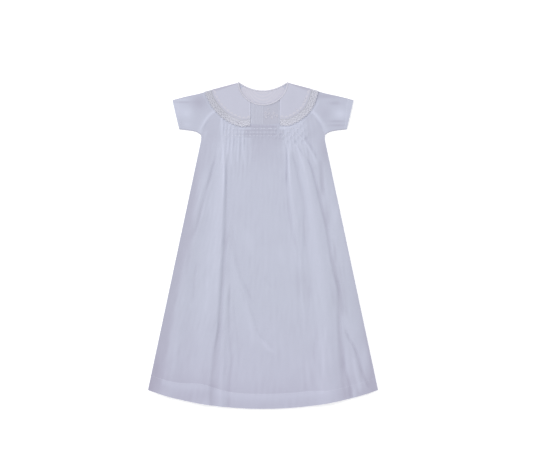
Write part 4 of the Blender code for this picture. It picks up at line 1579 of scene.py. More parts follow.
    def side_tone(self, x: Array, y: Array) -> Array:
        """Painted shade along the sides: broad on the left, narrow on the right with painted light
        inside.

        Args:
            x: Places across.
            y: Places along.

        Returns:
            The tone.
        """
        away, low = PATTERN.side_x(y) - np.abs(x), smooth(*self.low_skirt, y)
        deep = 0.55 + 0.6 * smooth(130.0, 20.0, y) - 0.25 * low
        left = -deep * bell(away, 27.0 - 9.0 * low) - 0.35 * low * smooth(-95.0, -160.0, x)
        corner = mix(6.0, 17.0, smooth(-250.0, -288.0, y))
        right = -0.3 * bell(away, 4.0) - 0.9 * low**3 * bell(away, corner)
        right = right + 0.15 * (1.0 - low) * bell(away - 18.0, 15.0)
        return np.where(x < 0.0, left, right) * smooth(222.0, 150.0, y)

    def hem_tone(self, x: Array, y: Array, above: Array) -> Array:
        """Tone of the hem, which is two layers and crushed at the right: lighter near its top,
        with painted shade above it, in its lower part and in the crushed corner.

        Args:
            x: Places across.
            y: Places along.
            above: Distances above the hem's edge.

        Returns:
            The tone.
        """
        over = above - PATTERN.hem_band
        band = 0.4 * bell(over + 5.0, 6.0) - 0.3 * smooth(-8.0, -26.0, over)
        band = band * (1.0 - bell(PATTERN.side_x(y) - np.abs(x), 22.0))
        hem = np.where(over > -0.1, -0.4 * np.exp(-np.maximum(over, 0.0) / 20.0), band)
        crushed = smooth(*self.crushed_x, x)
        return hem * (1.0 - 0.9 * crushed) - 0.35 * crushed * smooth(*self.low_skirt, y) ** 3

    def tone(self, x: Array, y: Array, above: Array) -> Array:
        """How much whiter or duller the cloth is, mostly as painted light and painted shade.

        Args:
            x: Places across.
            y: Places along.
            above: Distances above the hem's edge.

        Returns:
            The tone, from -1 to 1.6, and less in the corner.
        """
        crease = DRAPE.creases(x, y)
        crease = np.where(crease > 0.0, *self.crease_tone) * crease
        fold = self.fold_tone * (DRAPE.folds(x, y) - DRAPE.fullness)
        # Painted light beside the collar's edge, against the shadow that the collar and its lace
        # cast.
        painted_rim_light = np.where(x < 0.0, 0.9 * smooth(-23.0, -27.0, x), 1.5 * smooth(31.0, 36.0, x))
        painted_rim_light = painted_rim_light * bell(COLLAR.past_front(x, y), self.painted_rim_width)
        total = crease + fold + self.pleat_tone(x, y) + self.side_tone(x, y)
        total = total + self.streak_tone * self.streaks(x, y) + self.hem_tone(x, y, above) + painted_rim_light
        return np.clip(total + heights(SHADES, x, y), -1.0, 1.6) + heights(CORNER, x, y)

    def streaks(self, x: Array, y: Array) -> Array:
        """Fine soft lines that run down the skirt, fewer in its middle.

        Args:
            x: Places across.
            y: Places along.

        Returns:
            A value from about -1 to 1.
        """
        across = 180.0 * x / PATTERN.side_x(y)
        outer = mix(0.6, 1.0, smooth(30.0, 85.0, np.abs(x)))
        fine = ripple(across, y, 9.0, 7) * (0.5 + 0.5 * ripple(across, 3.0 * y, 60.0, 15))
        return outer * fine * smooth(0.1, 0.6, DRAPE.fall(x, y))

    def build(self) -> None:
        """Makes the front, its lower face in a coarser grid."""
        x, y, above = self.plan()
        spread = smooth(0.0, 0.5, DRAPE.fall(x, y))
        base = DRAPE.smoothed(x, y) + self.ripple_height * ripple(x, y, 17.0, 3) * spread
        base = base + self.streak_height * self.streaks(x, y) * smooth(232.0, 205.0, y)
        base = base + self.shade_height * heights(SHADES, x, y)
        in_hem = above < PATTERN.hem_band - 0.1
        below, wide = self.hem_groove
        groove = 0.6 * bell(above - PATTERN.hem_band + below, wide)
        z = base + DRAPE.pleats(x, y) + self.hem_rise * (in_hem - groove * in_hem)
        down, across = self.spare
        upper = np.stack((x, y, z), axis=-1)
        lower = np.stack((x, y, base - self.thin), axis=-1)[::down, ::across]
        ids = np.arange(x.size).reshape(x.shape)
        low = np.arange(lower.size // 3).reshape(lower.shape[:2]) + x.size
        faces = [*grid_quads(*x.shape), *(grid_quads(*low.shape)[:, ::-1] + x.size)]
        faces += zip_rows(ids[0], low[0]) + zip_rows(low[-1], ids[-1])
        faces += zip_rows(low[:, 0], ids[:, 0]) + zip_rows(ids[:, -1], low[:, -1])
        points = np.concatenate((upper.reshape(-1, 3), lower.reshape(-1, 3)))
        tone = self.tone(x, y, above)
        tones = np.concatenate((tone.ravel(), tone[::down, ::across].ravel()))
        made = Draft().add(points, faces, tones).build("front_panel", self.finishes.cotton)
        settle(made, "front", "cotton")


@dataclass(frozen=True)
class YokeInsert(Piece):
    """The flat yoke under the collar, with pintucks beside its embroidery."""

    tucks: tuple[float, ...] = (-22.0, -19.0, -16.0, -13.0, -10.0, -7.0, -4.0, -1.0)
    tuck_width: float = 0.75
    tuck_height: float = 0.55
    tuck_tone: float = 0.9
    ground_tone: float = -0.5
    neck_light: float = 1.6
    ripple_height: float = 0.1
    neck_steps: int = 170
    raglan_steps: int = 8
    rows: int = 26
    thin: float = 0.5
    left_edge_light: Triple = (-24.6, 2.2, 1.5)
    right_edge_light: Triple = (33.8, 1.6, 1.0)

    def build(self) -> None:
        """Makes the yoke."""
        start, share = PATTERN.raglan_start(True), PATTERN.yoke_corner()
        seam = PATTERN.raglan(start, np.linspace(0.97, 0.1, self.raglan_steps) * share)
        x = np.linspace(-PATTERN.front_raglan_x, PATTERN.front_raglan_x, self.neck_steps)
        neck = PATTERN.front_neck(PATTERN.front_neck_angle(x), PATTERN.neck_edge)
        tops = np.concatenate((seam * (-1.0, 1.0), neck, seam[::-1]))
        t = np.linspace(0.0, 1.0, self.rows)[:, None]
        x = np.broadcast_to(tops[:, 0], (self.rows, len(tops)))
        y = mix(tops[:, 1], PATTERN.yoke_seam_y(tops[:, 0]), t)
        face = LAYERS.front_floor(x, y) + LAYERS.cloth
        tuck = np.max([bell(x - centre, self.tuck_width) for centre in self.tucks], axis=0)
        z = face + self.tuck_height * tuck + self.ripple_height * ripple(x, y, 9.0, 5)
        upper, lower = np.stack((x, y, z), axis=-1), np.stack((x, y, face - self.thin), axis=-1)
        # Tucks lighter, partly folded cloth and partly painted light; painted light beside the
        # collar's front edges, against its shadow, and along the neck edge.
        edges = [tone * bell(x - at, wide) for at, wide, tone in (self.left_edge_light, self.right_edge_light)]
        tone = self.tuck_tone * tuck + (edges[0] + edges[1]) + self.ground_tone
        tone[0] += self.neck_light
        draft = Draft().add_wall(upper, lower, grid_quads(*x.shape), tone)
        made = draft.build("yoke_insert", self.finishes.yoke)
        settle(made, "front_yoke", "yoke")


@dataclass(frozen=True)
class BackPanel(Piece):
    """The back, one panel with a slit at its centre, its underside lying flat."""

    slit: float = 0.01
    placket_half: float = 10.2
    placket_bottom: float = 165.0
    neck_steps: int = 22
    raglan_steps: int = 26
    slot_rows: int = 66
    skirt_rows: int = 96
    thin: float = 0.55
    wrinkle_pitch: float = 3.3
    wrinkle_height: float = 0.6
    fold_height: float = 0.35
    fold_size: float = 46.0
    neck_band: Point = (284.0, 292.0)

    def column(self, top: Array, share: float) -> Array:
        """Points down one column.

        Args:
            top: Its upper end.
            share: 0 at the slit and 1 at the side.

        Returns:
            The points.
        """
        x_hem = mix(self.slit, PATTERN.hem_half_width, share)
        foot = min(self.placket_bottom, top[1] - 30.0)
        bottom = float(PATTERN.hem_y(x_hem))
        skirt = np.linspace(foot, bottom, self.skirt_rows + 1)[1:]
        y = np.concatenate((np.linspace(top[1], foot, self.slot_rows + 1), skirt))
        if share == 0.0:
            return np.stack((np.full_like(y, top[0]), y), axis=1)
        u_top, u_hem = top[0] / PATTERN.side_x(top[1]), x_hem / PATTERN.hem_half_width
        u = mix(u_top, u_hem, (top[1] - y) / (top[1] - bottom))
        return np.stack((np.where(y < top[1], u * PATTERN.side_x(y), top[0]), y), axis=1)

    def build(self) -> None:
        """Makes the back."""
        neck_x = np.linspace(self.slit, PATTERN.back_raglan_x, self.neck_steps)
        neck = PATTERN.back_neck(neck_x, PATTERN.neck_edge)
        neck[0, 0] = self.slit
        shares = np.linspace(0.0, 1.0, self.raglan_steps + 1)[1:]
        tops = np.concatenate((neck, PATTERN.raglan(PATTERN.raglan_start(False), shares)))
        last = len(tops) - 1
        half = np.stack([self.column(top, k / last) for k, top in enumerate(tops)], axis=1)
        plan = np.concatenate((half[:, ::-1] * (-1.0, 1.0), half), axis=1)
        x, y = plan[..., 0], plan[..., 1]
        lift = LAYERS.back_lift(x, y)
        inside = smooth(self.placket_half + 0.6, self.placket_half, np.abs(x))
        inside = inside * smooth(self.placket_bottom - 0.5, self.placket_bottom + 0.5, y)
        waves = np.maximum(ripple(x, y, self.fold_size, 11), 0.0)
        fold = self.fold_height * waves * smooth(150.0, 60.0, y)
        bottom = lift + fold + (LAYERS.cloth - self.thin) * inside
        top = lift + fold + mix(self.thin, LAYERS.cloth, inside)
        near_neck = smooth(*self.neck_band, y)
        row = 0.5 + 0.5 * np.cos(2.0 * np.pi * (y + 0.004 * x**2) / self.wrinkle_pitch)
        top = mix(top, lift + LAYERS.cloth, smooth(262.0, 280.0, y))
        top = top + self.wrinkle_height * row**2 * near_neck
        quads = grid_quads(*x.shape)
        down, across = np.divmod(quads[:, 0], x.shape[1])
        shut = ~((across == last) & (down < self.slot_rows))
        upper, lower = np.stack((x, y, top), axis=-1), np.stack((x, y, bottom), axis=-1)
        # Tone near the neck: whiter, pinker cloth, painted lighter on the crests of its wrinkles.
        draft = Draft().add_wall(upper, lower, quads[shut], near_neck * (0.3 + 0.7 * row))
        made = draft.build("back_panel", self.finishes.back)
        settle(made, "back", "cotton")


@dataclass(frozen=True)
class Placket(Piece):
    """The strip that closes the back's slit, with three worked buttonholes."""

    columns: tuple[float, ...] = (10.0, 9.6, 7.5, 5.0, 3.0, 1.6)
    rows: int = 90
    bottom: float = 165.4
    thin: float = 0.55
    stitched_x: float = 8.4
    hole_length: float = 11.0
    hole_width: float = 1.1

    def build(self) -> None:
        """Makes the strip."""
        top = float(PATTERN.back_neck(0.0, PATTERN.neck_edge)[1])
        half = np.array((*self.columns, self.hole_width / 2.0))
        xs = np.concatenate((-half, half[::-1]))
        ends = [y + s * self.hole_length / 2.0 for y in BUTTONS_Y for s in (-1, 1)]
        ys = np.unique(np.concatenate((np.linspace(self.bottom, top, self.rows), ends)))[::-1]
        x, y = np.meshgrid(xs, ys)
        quads = grid_quads(len(ys), len(xs))
        centre = quads[:, 0] % len(xs) == len(xs) // 2 - 1
        middle_y = (ys[quads[:, 0] // len(xs)] + ys[quads[:, 1] // len(xs)]) / 2.0
        away = np.min([np.abs(middle_y - button) for button in BUTTONS_Y], axis=0)
        cloth = ~(centre & (away < self.hole_length / 2.0))
        low = LAYERS.back_lift(x, y)
        edge = 0.12 * bell(np.abs(x) - self.stitched_x, 0.5)
        upper = np.stack((x, y, low + self.thin), axis=-1)
        lower = np.stack((x, y, low + edge), axis=-1)
        draft = Draft().add_wall(upper, lower, quads[cloth], 0.3)
        made = draft.build("placket_strip", self.finishes.cotton)
        settle(made, "placket", "cotton")


@dataclass(frozen=True)
class Buttons(Piece):
    """Three flat buttons with four holes, lying under the placket."""

    profile: tuple[Point, ...] = (
        (2.7, 0.25), (3.3, 0.05), (4.2, 0.0), (4.8, 0.15), (5.0, 0.5), (5.0, 0.8), (4.75, 1.1),
        (4.2, 1.2),
    )
    hole_radius: float = 0.55
    hole_out: float = 1.3
    around: int = 40

    def disc(self, number: int, y: float) -> None:
        """Makes one button, its recessed face down.

        Args:
            number: Its number from the neck down.
            y: Its place along the gown.
        """
        finish, turn = self.finishes.shell, turns(self.around)
        out, up = np.array(self.profile).T
        across, along = np.outer(out, np.cos(turn)), np.outer(out, np.sin(turn)) + y
        rings = np.stack((across, along, np.repeat(up[:, None], self.around, axis=1)), axis=-1)
        draft = Draft().add(rings, tube_faces(len(out), self.around))
        made = draft.build(f"button_{number}_disc", finish, 50.0)
        cutter = Draft()
        for k in range(4):
            angle = math.pi * (0.25 + 0.5 * k)
            x, dy = self.hole_out * math.cos(angle), self.hole_out * math.sin(angle)
            path = np.array([(x, y + dy, -1.0), (x, y + dy, 2.5)])
            width = 2.0 * self.hole_radius
            cutter.add_tube(path, width, width, up=(1.0, 0.0, 0.0), sides=12)
        tool = cutter.build(f"button_{number}_holes", finish, 40.0)
        drill = made.modifiers.new("holes", "BOOLEAN")
        drill.operation, drill.solver, drill.object = "DIFFERENCE", "EXACT", tool
        made.data = baked(made)
        made.modifiers.clear()
        bpy.data.objects.remove(tool, do_unlink=True)
        settle(made, f"button_{number}", "button")

    def build(self) -> None:
        """Makes the buttons."""
        for number, y in enumerate(BUTTONS_Y, start=1):
            self.disc(number, y)


# ---------------------------------------------------------------- sleeves


WRINKLES = {
    Side.LEFT: wrinkles(
        (130, 290, 18, 16, -1), (164, 291, 17, 1.8, -0.8), (164, 296, 16, 2.2, 0.5),
        (154, 267, 11, 11, 1.1), (170, 271, 8, 16, 0.6), (154, 245, 7, 5, 0.6),
    ),
    Side.RIGHT: wrinkles(
        (128, 303, 24, 5, -0.8), (146, 289, 13, 4, -0.7), (122, 275, 12, 14, -0.4),
        (157, 266, 13, 10, 1.3), (152, 252, 18, 2.2, -0.8), (152, 244, 18, 2.2, -0.7),
    ),
}


@dataclass(frozen=True)
class Sleeve(Piece):
    """A short raglan sleeve, flattened, folded along its top."""

    side: Side
    length: float = 62.0
    spread: float = 2.0
    ply_radius: float = 1.35
    fold_inset: float = 1.5
    inset_fade: Point = (0.58, 0.85)
    neck_gap: float = 0.6
    spread_ramp: float = 25.0
    underside_line: Point = (231.3, 0.105)
    underside_round: Point = (7.8, 6.5)
    underside_closeness: float = 0.6
    underarm_shift: float = 1.3
    cuff_hem: float = 5.2
    hem_rise: float = 0.35
    raglan_steps: int = 44
    neck_steps: int = 6
    bend_steps: int = 9
    rings: int = 46
    thin: float = 0.5
    ridge_height: float = 0.8
    ridge_out: float = 5.4
    ridge_width: float = 4.0
    ridge_fade: float = 0.12
    reach: Point = (58.0, 60.0)
    wrinkle_height: float = 0.55
    ripple_height: float = 0.2
    ripple_size: float = 26.0
    seam_width: float = 4.6
    painted_rim_width: float = 3.0

    def underside(self, share: float) -> Array:
        """The lower edge, from the underarm to the cuff.

        Args:
            share: Share of the way.

        Returns:
            The point.
        """
        level, slope = self.underside_line
        depth, reach = self.underside_round

        def line(x: float) -> float:
            """The edge's y at x, rounded into the underarm."""
            away = x - PATTERN.underarm[0]
            return level + slope * away - depth * np.exp(-away / reach)

        along = share * mix(self.underside_closeness, 1.0, share)
        x = mix(PATTERN.underarm[0] + self.underarm_shift, PATTERN.cuff_bottom[0], along)
        miss = PATTERN.cuff_bottom[1] - line(PATTERN.cuff_bottom[0])
        return np.array((x, line(x) + miss * share))

    def fold(self, share: float) -> Array:
        """The fold on top, from the neck to the cuff.

        Args:
            share: Share of the way.

        Returns:
            The point.
        """
        length = float(np.linalg.norm(np.array(PATTERN.cuff_top) - PATTERN.neck_point))
        inset = self.fold_inset * (1.0 - smooth(*self.inset_fade, share))
        return PATTERN.shoulder_point(mix(PATTERN.neck_edge + self.neck_gap, length, share), inset)

    def bend(self, share: float, top: bool) -> tuple[Array, Array]:
        """Centre of the bend along an edge, and the way out of the sleeve.

        Args:
            share: Share of the way to the cuff.
            top: True for the fold, False for the underarm.

        Returns:
            The centre and the direction.
        """
        curve = self.fold if top else self.underside
        along = unit(curve(min(share + 0.01, 1.0)) - curve(max(share - 0.01, 0.0)))
        out = np.array((-along[1], along[0])) * (1.0 if top else -1.0)
        return curve(share) - out * self.ply_radius, out

    def armhole(self, front: bool) -> Array:
        """The inner edge, from the underarm to the fold.

        Args:
            front: True for the front ply.

        Returns:
            The points.
        """
        shares = 1.0 - np.arange(1, self.raglan_steps) / self.raglan_steps
        seam = PATTERN.raglan(PATTERN.raglan_start(front), shares, PATTERN.seam_gap)
        t = np.arange(self.neck_steps) / self.neck_steps
        if front:
            angle = PATTERN.front_neck_angle(PATTERN.front_raglan_x + PATTERN.seam_gap)
            neck = PATTERN.front_neck(angle * (1.0 - t), PATTERN.neck_edge)
        else:
            x = mix(PATTERN.back_raglan_x + PATTERN.seam_gap, PATTERN.neck_half_width, t)
            neck = PATTERN.back_neck(x, PATTERN.neck_edge)
        ends = self.bend(0.0, False)[0][None], self.bend(0.0, True)[0][None]
        return np.concatenate((ends[0], seam, neck, ends[1]))

    def ply(self, edge: Array, share: float) -> tuple[Array, Array]:
        """Points across one ply.

        Args:
            edge: The ply's inner edge.
            share: Share of the way to the cuff.

        Returns:
            The points, and each one's share of the way from the underarm to the fold.
        """
        v = run_of(edge) / run_of(edge)[-1]
        low, top = self.bend(share, False)[0], self.bend(share, True)[0]
        cuff_low, cuff_top = np.array(PATTERN.cuff_bottom), np.array(PATTERN.cuff_top)
        ruled = mix(edge, mix(cuff_low, cuff_top, v[:, None]), share)
        low_miss = low - mix(edge[0], cuff_low, share)
        top_miss = top - mix(edge[-1], cuff_top, share)
        return ruled + mix(low_miss, top_miss, v[:, None]), v

    def rise(self, place: Array, v: Array, share: float) -> Array:
        """How far the upper ply stands up: its fullness, the puffed seam and soft folds.

        Args:
            place: Points of the ply.
            v: Their shares of the way from the underarm to the fold.
            share: Share of the way to the cuff.

        Returns:
            The height they add.
        """
        x, y = place.T
        past = COLLAR.past_front(x, y)
        clear = smooth(0.0, self.spread_ramp, past) * smooth(0.0, 0.14, share)
        full = self.spread * np.sin(np.pi * v) * clear
        shortest, growth = self.reach
        out = share * (shortest + growth * v)
        width = self.ridge_width * mix(0.8, 1.5, smooth(0.1, 0.5, v))
        ridge = self.ridge_height * bell(out - self.ridge_out, width)
        ridge = ridge * smooth(0.0, self.ridge_fade, v)
        wave = self.wrinkle_height * heights(WRINKLES[self.side], x, y)
        wave = wave + self.ripple_height * ripple(y, x, self.ripple_size, 20 + self.side.value)
        return full + (ridge + wave * np.sin(np.pi * v)) * smooth(0.0, 12.0, past)

    def ring(self, share: float, edges: tuple[Array, Array], wall: float) -> Array:
        """One ring: upper ply, fold, lower ply, underarm.

        Args:
            share: Share of the way to the cuff.
            edges: Inner edges of the front and back plies.
            wall: 0 for the outer skin, the cloth's thickness for the inner one.

        Returns:
            The points.
        """
        radius = self.ply_radius - wall
        bends = np.pi * (0.5 - np.arange(1, self.bend_steps) / self.bend_steps)
        front, v = self.ply(edges[0], share)
        in_hem = self.length * (1.0 - share) < self.cuff_hem and wall == 0.0
        up = self.rise(front, v, share) + (self.hem_rise if in_hem else 0.0)
        z = LAYERS.lift(*front.T) + self.ply_radius + radius + up
        back, _ = self.ply(edges[1], share)
        low = LAYERS.lift(*back.T) + self.ply_radius - radius
        parts = [np.column_stack((front, z)), np.column_stack((back, low))[::-1]]
        for top, order in ((True, bends), (False, bends[::-1])):
            centre, out = self.bend(share, top)
            level = float(LAYERS.lift(*centre)) + self.ply_radius
            flat = centre + np.outer(np.cos(order) * radius, out)
            parts.insert(1 if top else 3, np.column_stack((flat, level + radius * np.sin(order))))
        return np.concatenate(parts)

    def build(self) -> None:
        """Makes the sleeve."""
        edges = self.armhole(True), self.armhole(False)
        near = np.array((6.2, self.cuff_hem + 0.1, self.cuff_hem - 0.5, 2.5, 0.0))
        near = 1.0 - near / self.length
        shares = np.concatenate((np.linspace(0.0, near[0], self.rings - 4), near[1:]))
        outer = np.array([self.ring(s, edges, 0.0) for s in shares]) * self.side.mirror
        inner = np.array([self.ring(s, edges, self.thin) for s in shares]) * self.side.mirror
        x, y = np.abs(outer[..., 0]), outer[..., 1]
        # Painted light and shade: lighter on the wrinkles' swells, along the raglan seam's ridge
        # and beside the collar's edge, darker in their hollows; the cuff's hem of two layers a
        # little lighter.
        tone = heights(WRINKLES[self.side], x, y)
        tone[-4:] += 0.2
        seam = bell(np.hypot(x - x[0], y - y[0]) - self.ridge_out, self.seam_width)
        painted_rim_light = 0.9 if self.side is Side.LEFT else 1.5 * smooth(298.0, 276.0, y)
        tone = tone - 0.15 + mix(0.7, 1.3, smooth(236.0, 262.0, y)) * seam
        tone = tone + painted_rim_light * bell(COLLAR.past_front(x, y), self.painted_rim_width)
        # Painted shade along the folded top, round the underarm bend and at the underarm edge.
        first = len(edges[0])
        tone[:, first - 1 : first + self.bend_steps] = -1.0
        tone[:, -self.bend_steps :] = -1.0
        tone[:, 0] = -1.0
        name = f"sleeve_{self.side.word}"
        draft = Draft().add_wall(outer, inner, grid_quads(*outer.shape[:2], wrap=True), tone)
        made = draft.build(f"{name}_cloth", self.finishes.cotton)
        settle(made, name, "cotton")


# ---------------------------------------------------------------- collar and lace


class CollarSurface:
    """Half of the collar as a surface: how far round it, and how far in from its edge."""

    def __init__(self, side: Side, count: int = 90, bends: int = 10) -> None:
        """Lays the surface out.

        Args:
            side: Which half.
            count: Steps on the back and on the front.
            bends: Steps round the shoulder fold.
        """
        self.side = side
        self.count = count
        self.bend = 180.0 * np.arange(1, bends) / bends - 90.0
        ends = np.full(count + 1, 90.0)
        self.angles = np.concatenate((-ends, self.bend, ends))
        self.insets = np.linspace(0.0, 32.0, 17)
        lines = [self.raised(self.plan_row(inset)[1]) for inset in self.insets]
        self.rows = np.stack(lines, axis=1)
        self.run = run_of(self.rows[:, 4])
        self.length = float(self.run[-1])

    def drawn_in(self, angle: Array | float) -> Array:
        """How far the right half's edge is drawn in beside the shoulder."""
        loss = COLLAR.shoulder_loss if self.side is Side.RIGHT else 0.0
        return loss * smooth(COLLAR.shoulder_loss_end, COLLAR.start_angle, angle)

    def edge_line(self, x_end: float, loss: float, inset: float) -> Array:
        """A line along the outer edge from the shoulder, its corner cut back.

        Args:
            x_end: Where it ends, as a distance from the centre line.
            loss: How much the collar narrows for each degree.
            inset: Distance of the line from the outer edge.

        Returns:
            Its points.
        """
        t = np.linspace(0.0, 1.0, self.count + 1)
        angle = mix(COLLAR.shoulder_angle, COLLAR.end_angle(x_end, loss, inset), t)
        cut = COLLAR.corner_cut * smooth(COLLAR.corner_start, 1.0, t)
        line = COLLAR.edge(angle, loss, inset + cut + self.drawn_in(angle))
        line[:, 0] = np.maximum(line[:, 0], x_end)
        return line

    def plan_row(self, inset: float) -> tuple[Array, Array]:
        """Points of the neck edge and of a line along the outer edge.

        Args:
            inset: Distance of the line from the outer edge.

        Returns:
            The neck points and the line's points.
        """
        t = np.linspace(0.0, 1.0, self.count + 1)
        front_x = COLLAR.front_x(self.side)
        back = self.edge_line(COLLAR.back_x, COLLAR.back_loss, inset)[::-1]
        front = self.edge_line(front_x, COLLAR.front_loss, inset)
        neck_x = mix(COLLAR.back_x, PATTERN.neck_half_width - 1.5, t)
        back_neck = PATTERN.back_neck(neck_x, PATTERN.neck_edge)
        back_neck[:, 0] = np.maximum(back_neck[:, 0], COLLAR.back_x)
        away = COLLAR.top * (1.0 - np.cos(np.radians(self.bend)))
        fold_neck = PATTERN.shoulder_point(np.full_like(away, PATTERN.neck_edge + 0.8), away)
        reach = COLLAR.reach - PATTERN.neck_half_width + COLLAR.shoulder_extra - inset
        reach = reach - self.drawn_in(COLLAR.shoulder_angle)
        fold = PATTERN.shoulder_point(np.full_like(away, reach), away)
        neck_end = float(PATTERN.front_neck_angle(front_x))
        front_neck = PATTERN.front_neck(mix(4.0, neck_end, t), PATTERN.neck_edge)
        neck = np.concatenate((back_neck, fold_neck, front_neck))
        return neck, np.concatenate((back, fold, front))

    def raised(self, plan_points: Array, depth: float = 0.0) -> Array:
        """Lifts plan points on to the surface.

        Args:
            plan_points: One point for each station.
            depth: Distance under the outer face.

        Returns:
            The points in space.
        """
        (x, y), turn = plan_points.T, np.radians(self.angles)
        d, inward = PATTERN.shoulder, depth * np.cos(turn)
        level = COLLAR.top + COLLAR.climb(x, y) * smooth(-90.0, 90.0, self.angles)
        z = level + (COLLAR.top - depth) * np.sin(turn)
        return np.stack((self.side.value * (x + d[1] * inward), y - d[0] * inward, z), axis=-1)

    def at(self, along: Array, inset: Array) -> tuple[Array, Array]:
        """Places on the surface.

        Args:
            along: Distances round the collar from its back edge.
            inset: Distances in from its outer edge.

        Returns:
            The points, and the directions out of the surface there.
        """
        station = np.interp(along, self.run, np.arange(len(self.run)))
        cross = np.interp(inset, self.insets, np.arange(len(self.insets)))
        i = np.minimum(station.astype(int), len(self.run) - 2)
        j = np.minimum(cross.astype(int), len(self.insets) - 2)
        fi, fj = (station - i)[..., None], (cross - j)[..., None]
        near = mix(self.rows[i, j], self.rows[i, j + 1], fj)
        far = mix(self.rows[i + 1, j], self.rows[i + 1, j + 1], fj)
        turn = np.radians(np.interp(station, np.arange(len(self.run)), self.angles))
        d, flat = PATTERN.shoulder, np.cos(turn)
        out = np.stack((-self.side.value * d[1] * flat, d[0] * flat, np.sin(turn)), axis=-1)
        return mix(near, far, fi), unit(out)


@dataclass(frozen=True)
class CollarHalf(Piece):
    """Half of the round collar: two layers of cloth from the neck to the lace."""

    surface: CollarSurface
    thin: float = 0.9
    across: int = 28
    corner_inset: float = 16.2
    wave_height: float = 0.22
    wave_size: float = 24.0
    roll_height: float = 0.35
    front_edge_light: float = 1.1

    def build(self) -> None:
        """Makes the half collar, its edge rolled, painted lighter down its front edge."""
        surface, side = self.surface, self.surface.side
        neck, edge = surface.plan_row(self.corner_inset)
        outer, inner, tone = [], [], []
        front = smooth(60.0, 90.0, surface.angles)
        for t in 1.0 - (1.0 - np.linspace(0.0, 1.0, self.across)) ** 1.5:
            row = mix(neck, edge, t)
            points = surface.raised(row)
            wave = ripple(points[:, 0], points[:, 1], self.wave_size, 31 + side.value)
            wave = self.wave_height * wave
            rolled = self.roll_height * bell(t - 0.985, 0.03)
            points[:, 2] += front * (wave * math.sin(math.pi * min(t * 1.1, 1.0)) + rolled)
            outer.append(points)
            inner.append(surface.raised(row, self.thin))
            # Painted shade round the shoulder bend and under the lace's header, painted light down
            # the front edge.
            inside = np.abs(points[:, 0]) - COLLAR.front_x(side)
            front_edge_lit = self.front_edge_light * bell(inside - 1.0, 1.2) * (surface.angles > 0.0)
            ground = 0.15 - 0.45 * bell(t - 0.975, 0.035)
            tone.append(np.where(np.abs(surface.angles) < 75.0, -1.0, ground + front_edge_lit))
        outer, inner, tone = np.array(outer), np.array(inner), np.array(tone)
        draft = Draft().add_wall(outer, inner, grid_quads(*outer.shape[:2]), tone)
        name = f"collar_{side.word}"
        made = draft.build(f"{name}_cloth", self.finishes.collar)
        settle(made, name, "collar")


@dataclass(frozen=True)
class LaceEdging(Piece):
    """Lace round the collar: cords, a crossed lattice with dots, a net and scallops."""

    surface: CollarSurface
    header: float = 15.8
    inner_cord: float = 12.2
    outer_cord: float = 4.0
    cords: tuple[Point, ...] = ((15.8, 1.4), (12.2, 1.2), (4.0, 1.5))
    lattice_pitch: float = 9.6
    scallop_pitch: float = 6.4
    scallop_rise: float = 2.9
    net_pitch: float = 1.3
    net_thread: float = 0.62
    open_thread: float = 0.44
    net_height: float = 0.35
    # The net is painted darker, as the shade seen through the open lace.
    net_shade: float = -1.0
    cord_width: float = 1.5
    cord_height: float = 0.8
    dot_radius: float = 1.25
    depth: float = 0.5
    end: float = 0.3

    def line(
        self, draft: Draft, along: Array, inset: Array, width: Array | float, **how: float
    ) -> None:
        """Adds a cord that follows a line on the collar.

        Args:
            draft: Where it is added.
            along: Distances round the collar.
            inset: Distances in from the edge.
            width: The cord's width.
            how: Its height, tone and sides, and whether it is closed, where not usual.
        """
        points, out = self.surface.at(along, inset)
        how = {"height": self.cord_height, "tone": 0.0, **how}
        how["tone"] = how["tone"] + self.shade(points[:, 0])
        draft.add_tube(points - out * self.depth, width, up=out, **how)

    def shade(self, x: Array) -> Array:
        """Painted shade on the lace towards the shoulders, more on the left."""
        return -0.8 * smooth(-58.0, -88.0, x) - 0.28 * smooth(60.0, 85.0, x)

    def scallops(self, along: Array) -> Array:
        """Inset of the scalloped outer cord."""
        pitch = self.surface.length / round(self.surface.length / self.scallop_pitch)
        return self.outer_cord - 0.4 - self.scallop_rise * np.abs(np.sin(np.pi * along / pitch))

    def net(self, draft: Draft, middle: float, swing: Array) -> None:
        """Adds the net ground, slanting threads both ways, closest in the diamonds.

        Args:
            draft: Where it is added.
            middle: Middle line of the diamonds.
            swing: Gives how far they reach from it at distances round the collar.
        """
        length, low = self.surface.length, self.outer_cord - 3.0
        span = self.header - low
        t = np.linspace(0.0, 1.0, 25)
        inset = mix(low, self.header, t)
        for slant in (1.0, -1.0):
            for start in np.arange(-span, length + span, self.net_pitch):
                along = start + slant * span * (t - 0.5)
                on = (along > 0.4) & (along < length - 0.4) & (inset > self.scallops(along))
                if np.count_nonzero(on) > 2:
                    close = np.abs(inset - middle) < np.abs(swing(along))
                    close = close | (inset > self.inner_cord)
                    width = np.where(close, self.net_thread, self.open_thread)[on]
                    look = {"height": self.net_height, "sides": 4, "tone": self.net_shade}
                    self.line(draft, along[on], inset[on], width, **look)

    def build(self) -> None:
        """Makes the lace."""
        draft, length = Draft(), self.surface.length
        along = np.arange(self.end, length - self.end, 1.2)
        for inset, width in self.cords:
            self.line(draft, along, np.full_like(along, inset), width)
        middle = (self.inner_cord + self.outer_cord) / 2.0
        half = (self.inner_cord - self.outer_cord) / 2.0 - 0.5
        count = round(length / self.lattice_pitch)

        def swing(place: Array) -> Array:
            """How far the crossed cords are from their middle line."""
            return half * np.cos(np.pi * place / (length / count))

        for sign in (1.0, -1.0):
            self.line(draft, along, middle + sign * swing(along), self.cord_width)
        fine = np.arange(self.end, length - self.end, 0.8)
        self.line(draft, fine, self.scallops(fine), 1.3)
        ring_x, ring_y = self.dot_radius * np.cos(turns(12)), self.dot_radius * np.sin(turns(12))
        for k in range(1, count):
            place = k * length / count + ring_x
            self.line(draft, place, middle + ring_y, 0.9, sides=5, closed=True)
        self.net(draft, middle, swing)
        name = f"lace_{self.surface.side.word}"
        settle(draft.build(f"{name}_edging", self.finishes.lace), name, "lace")


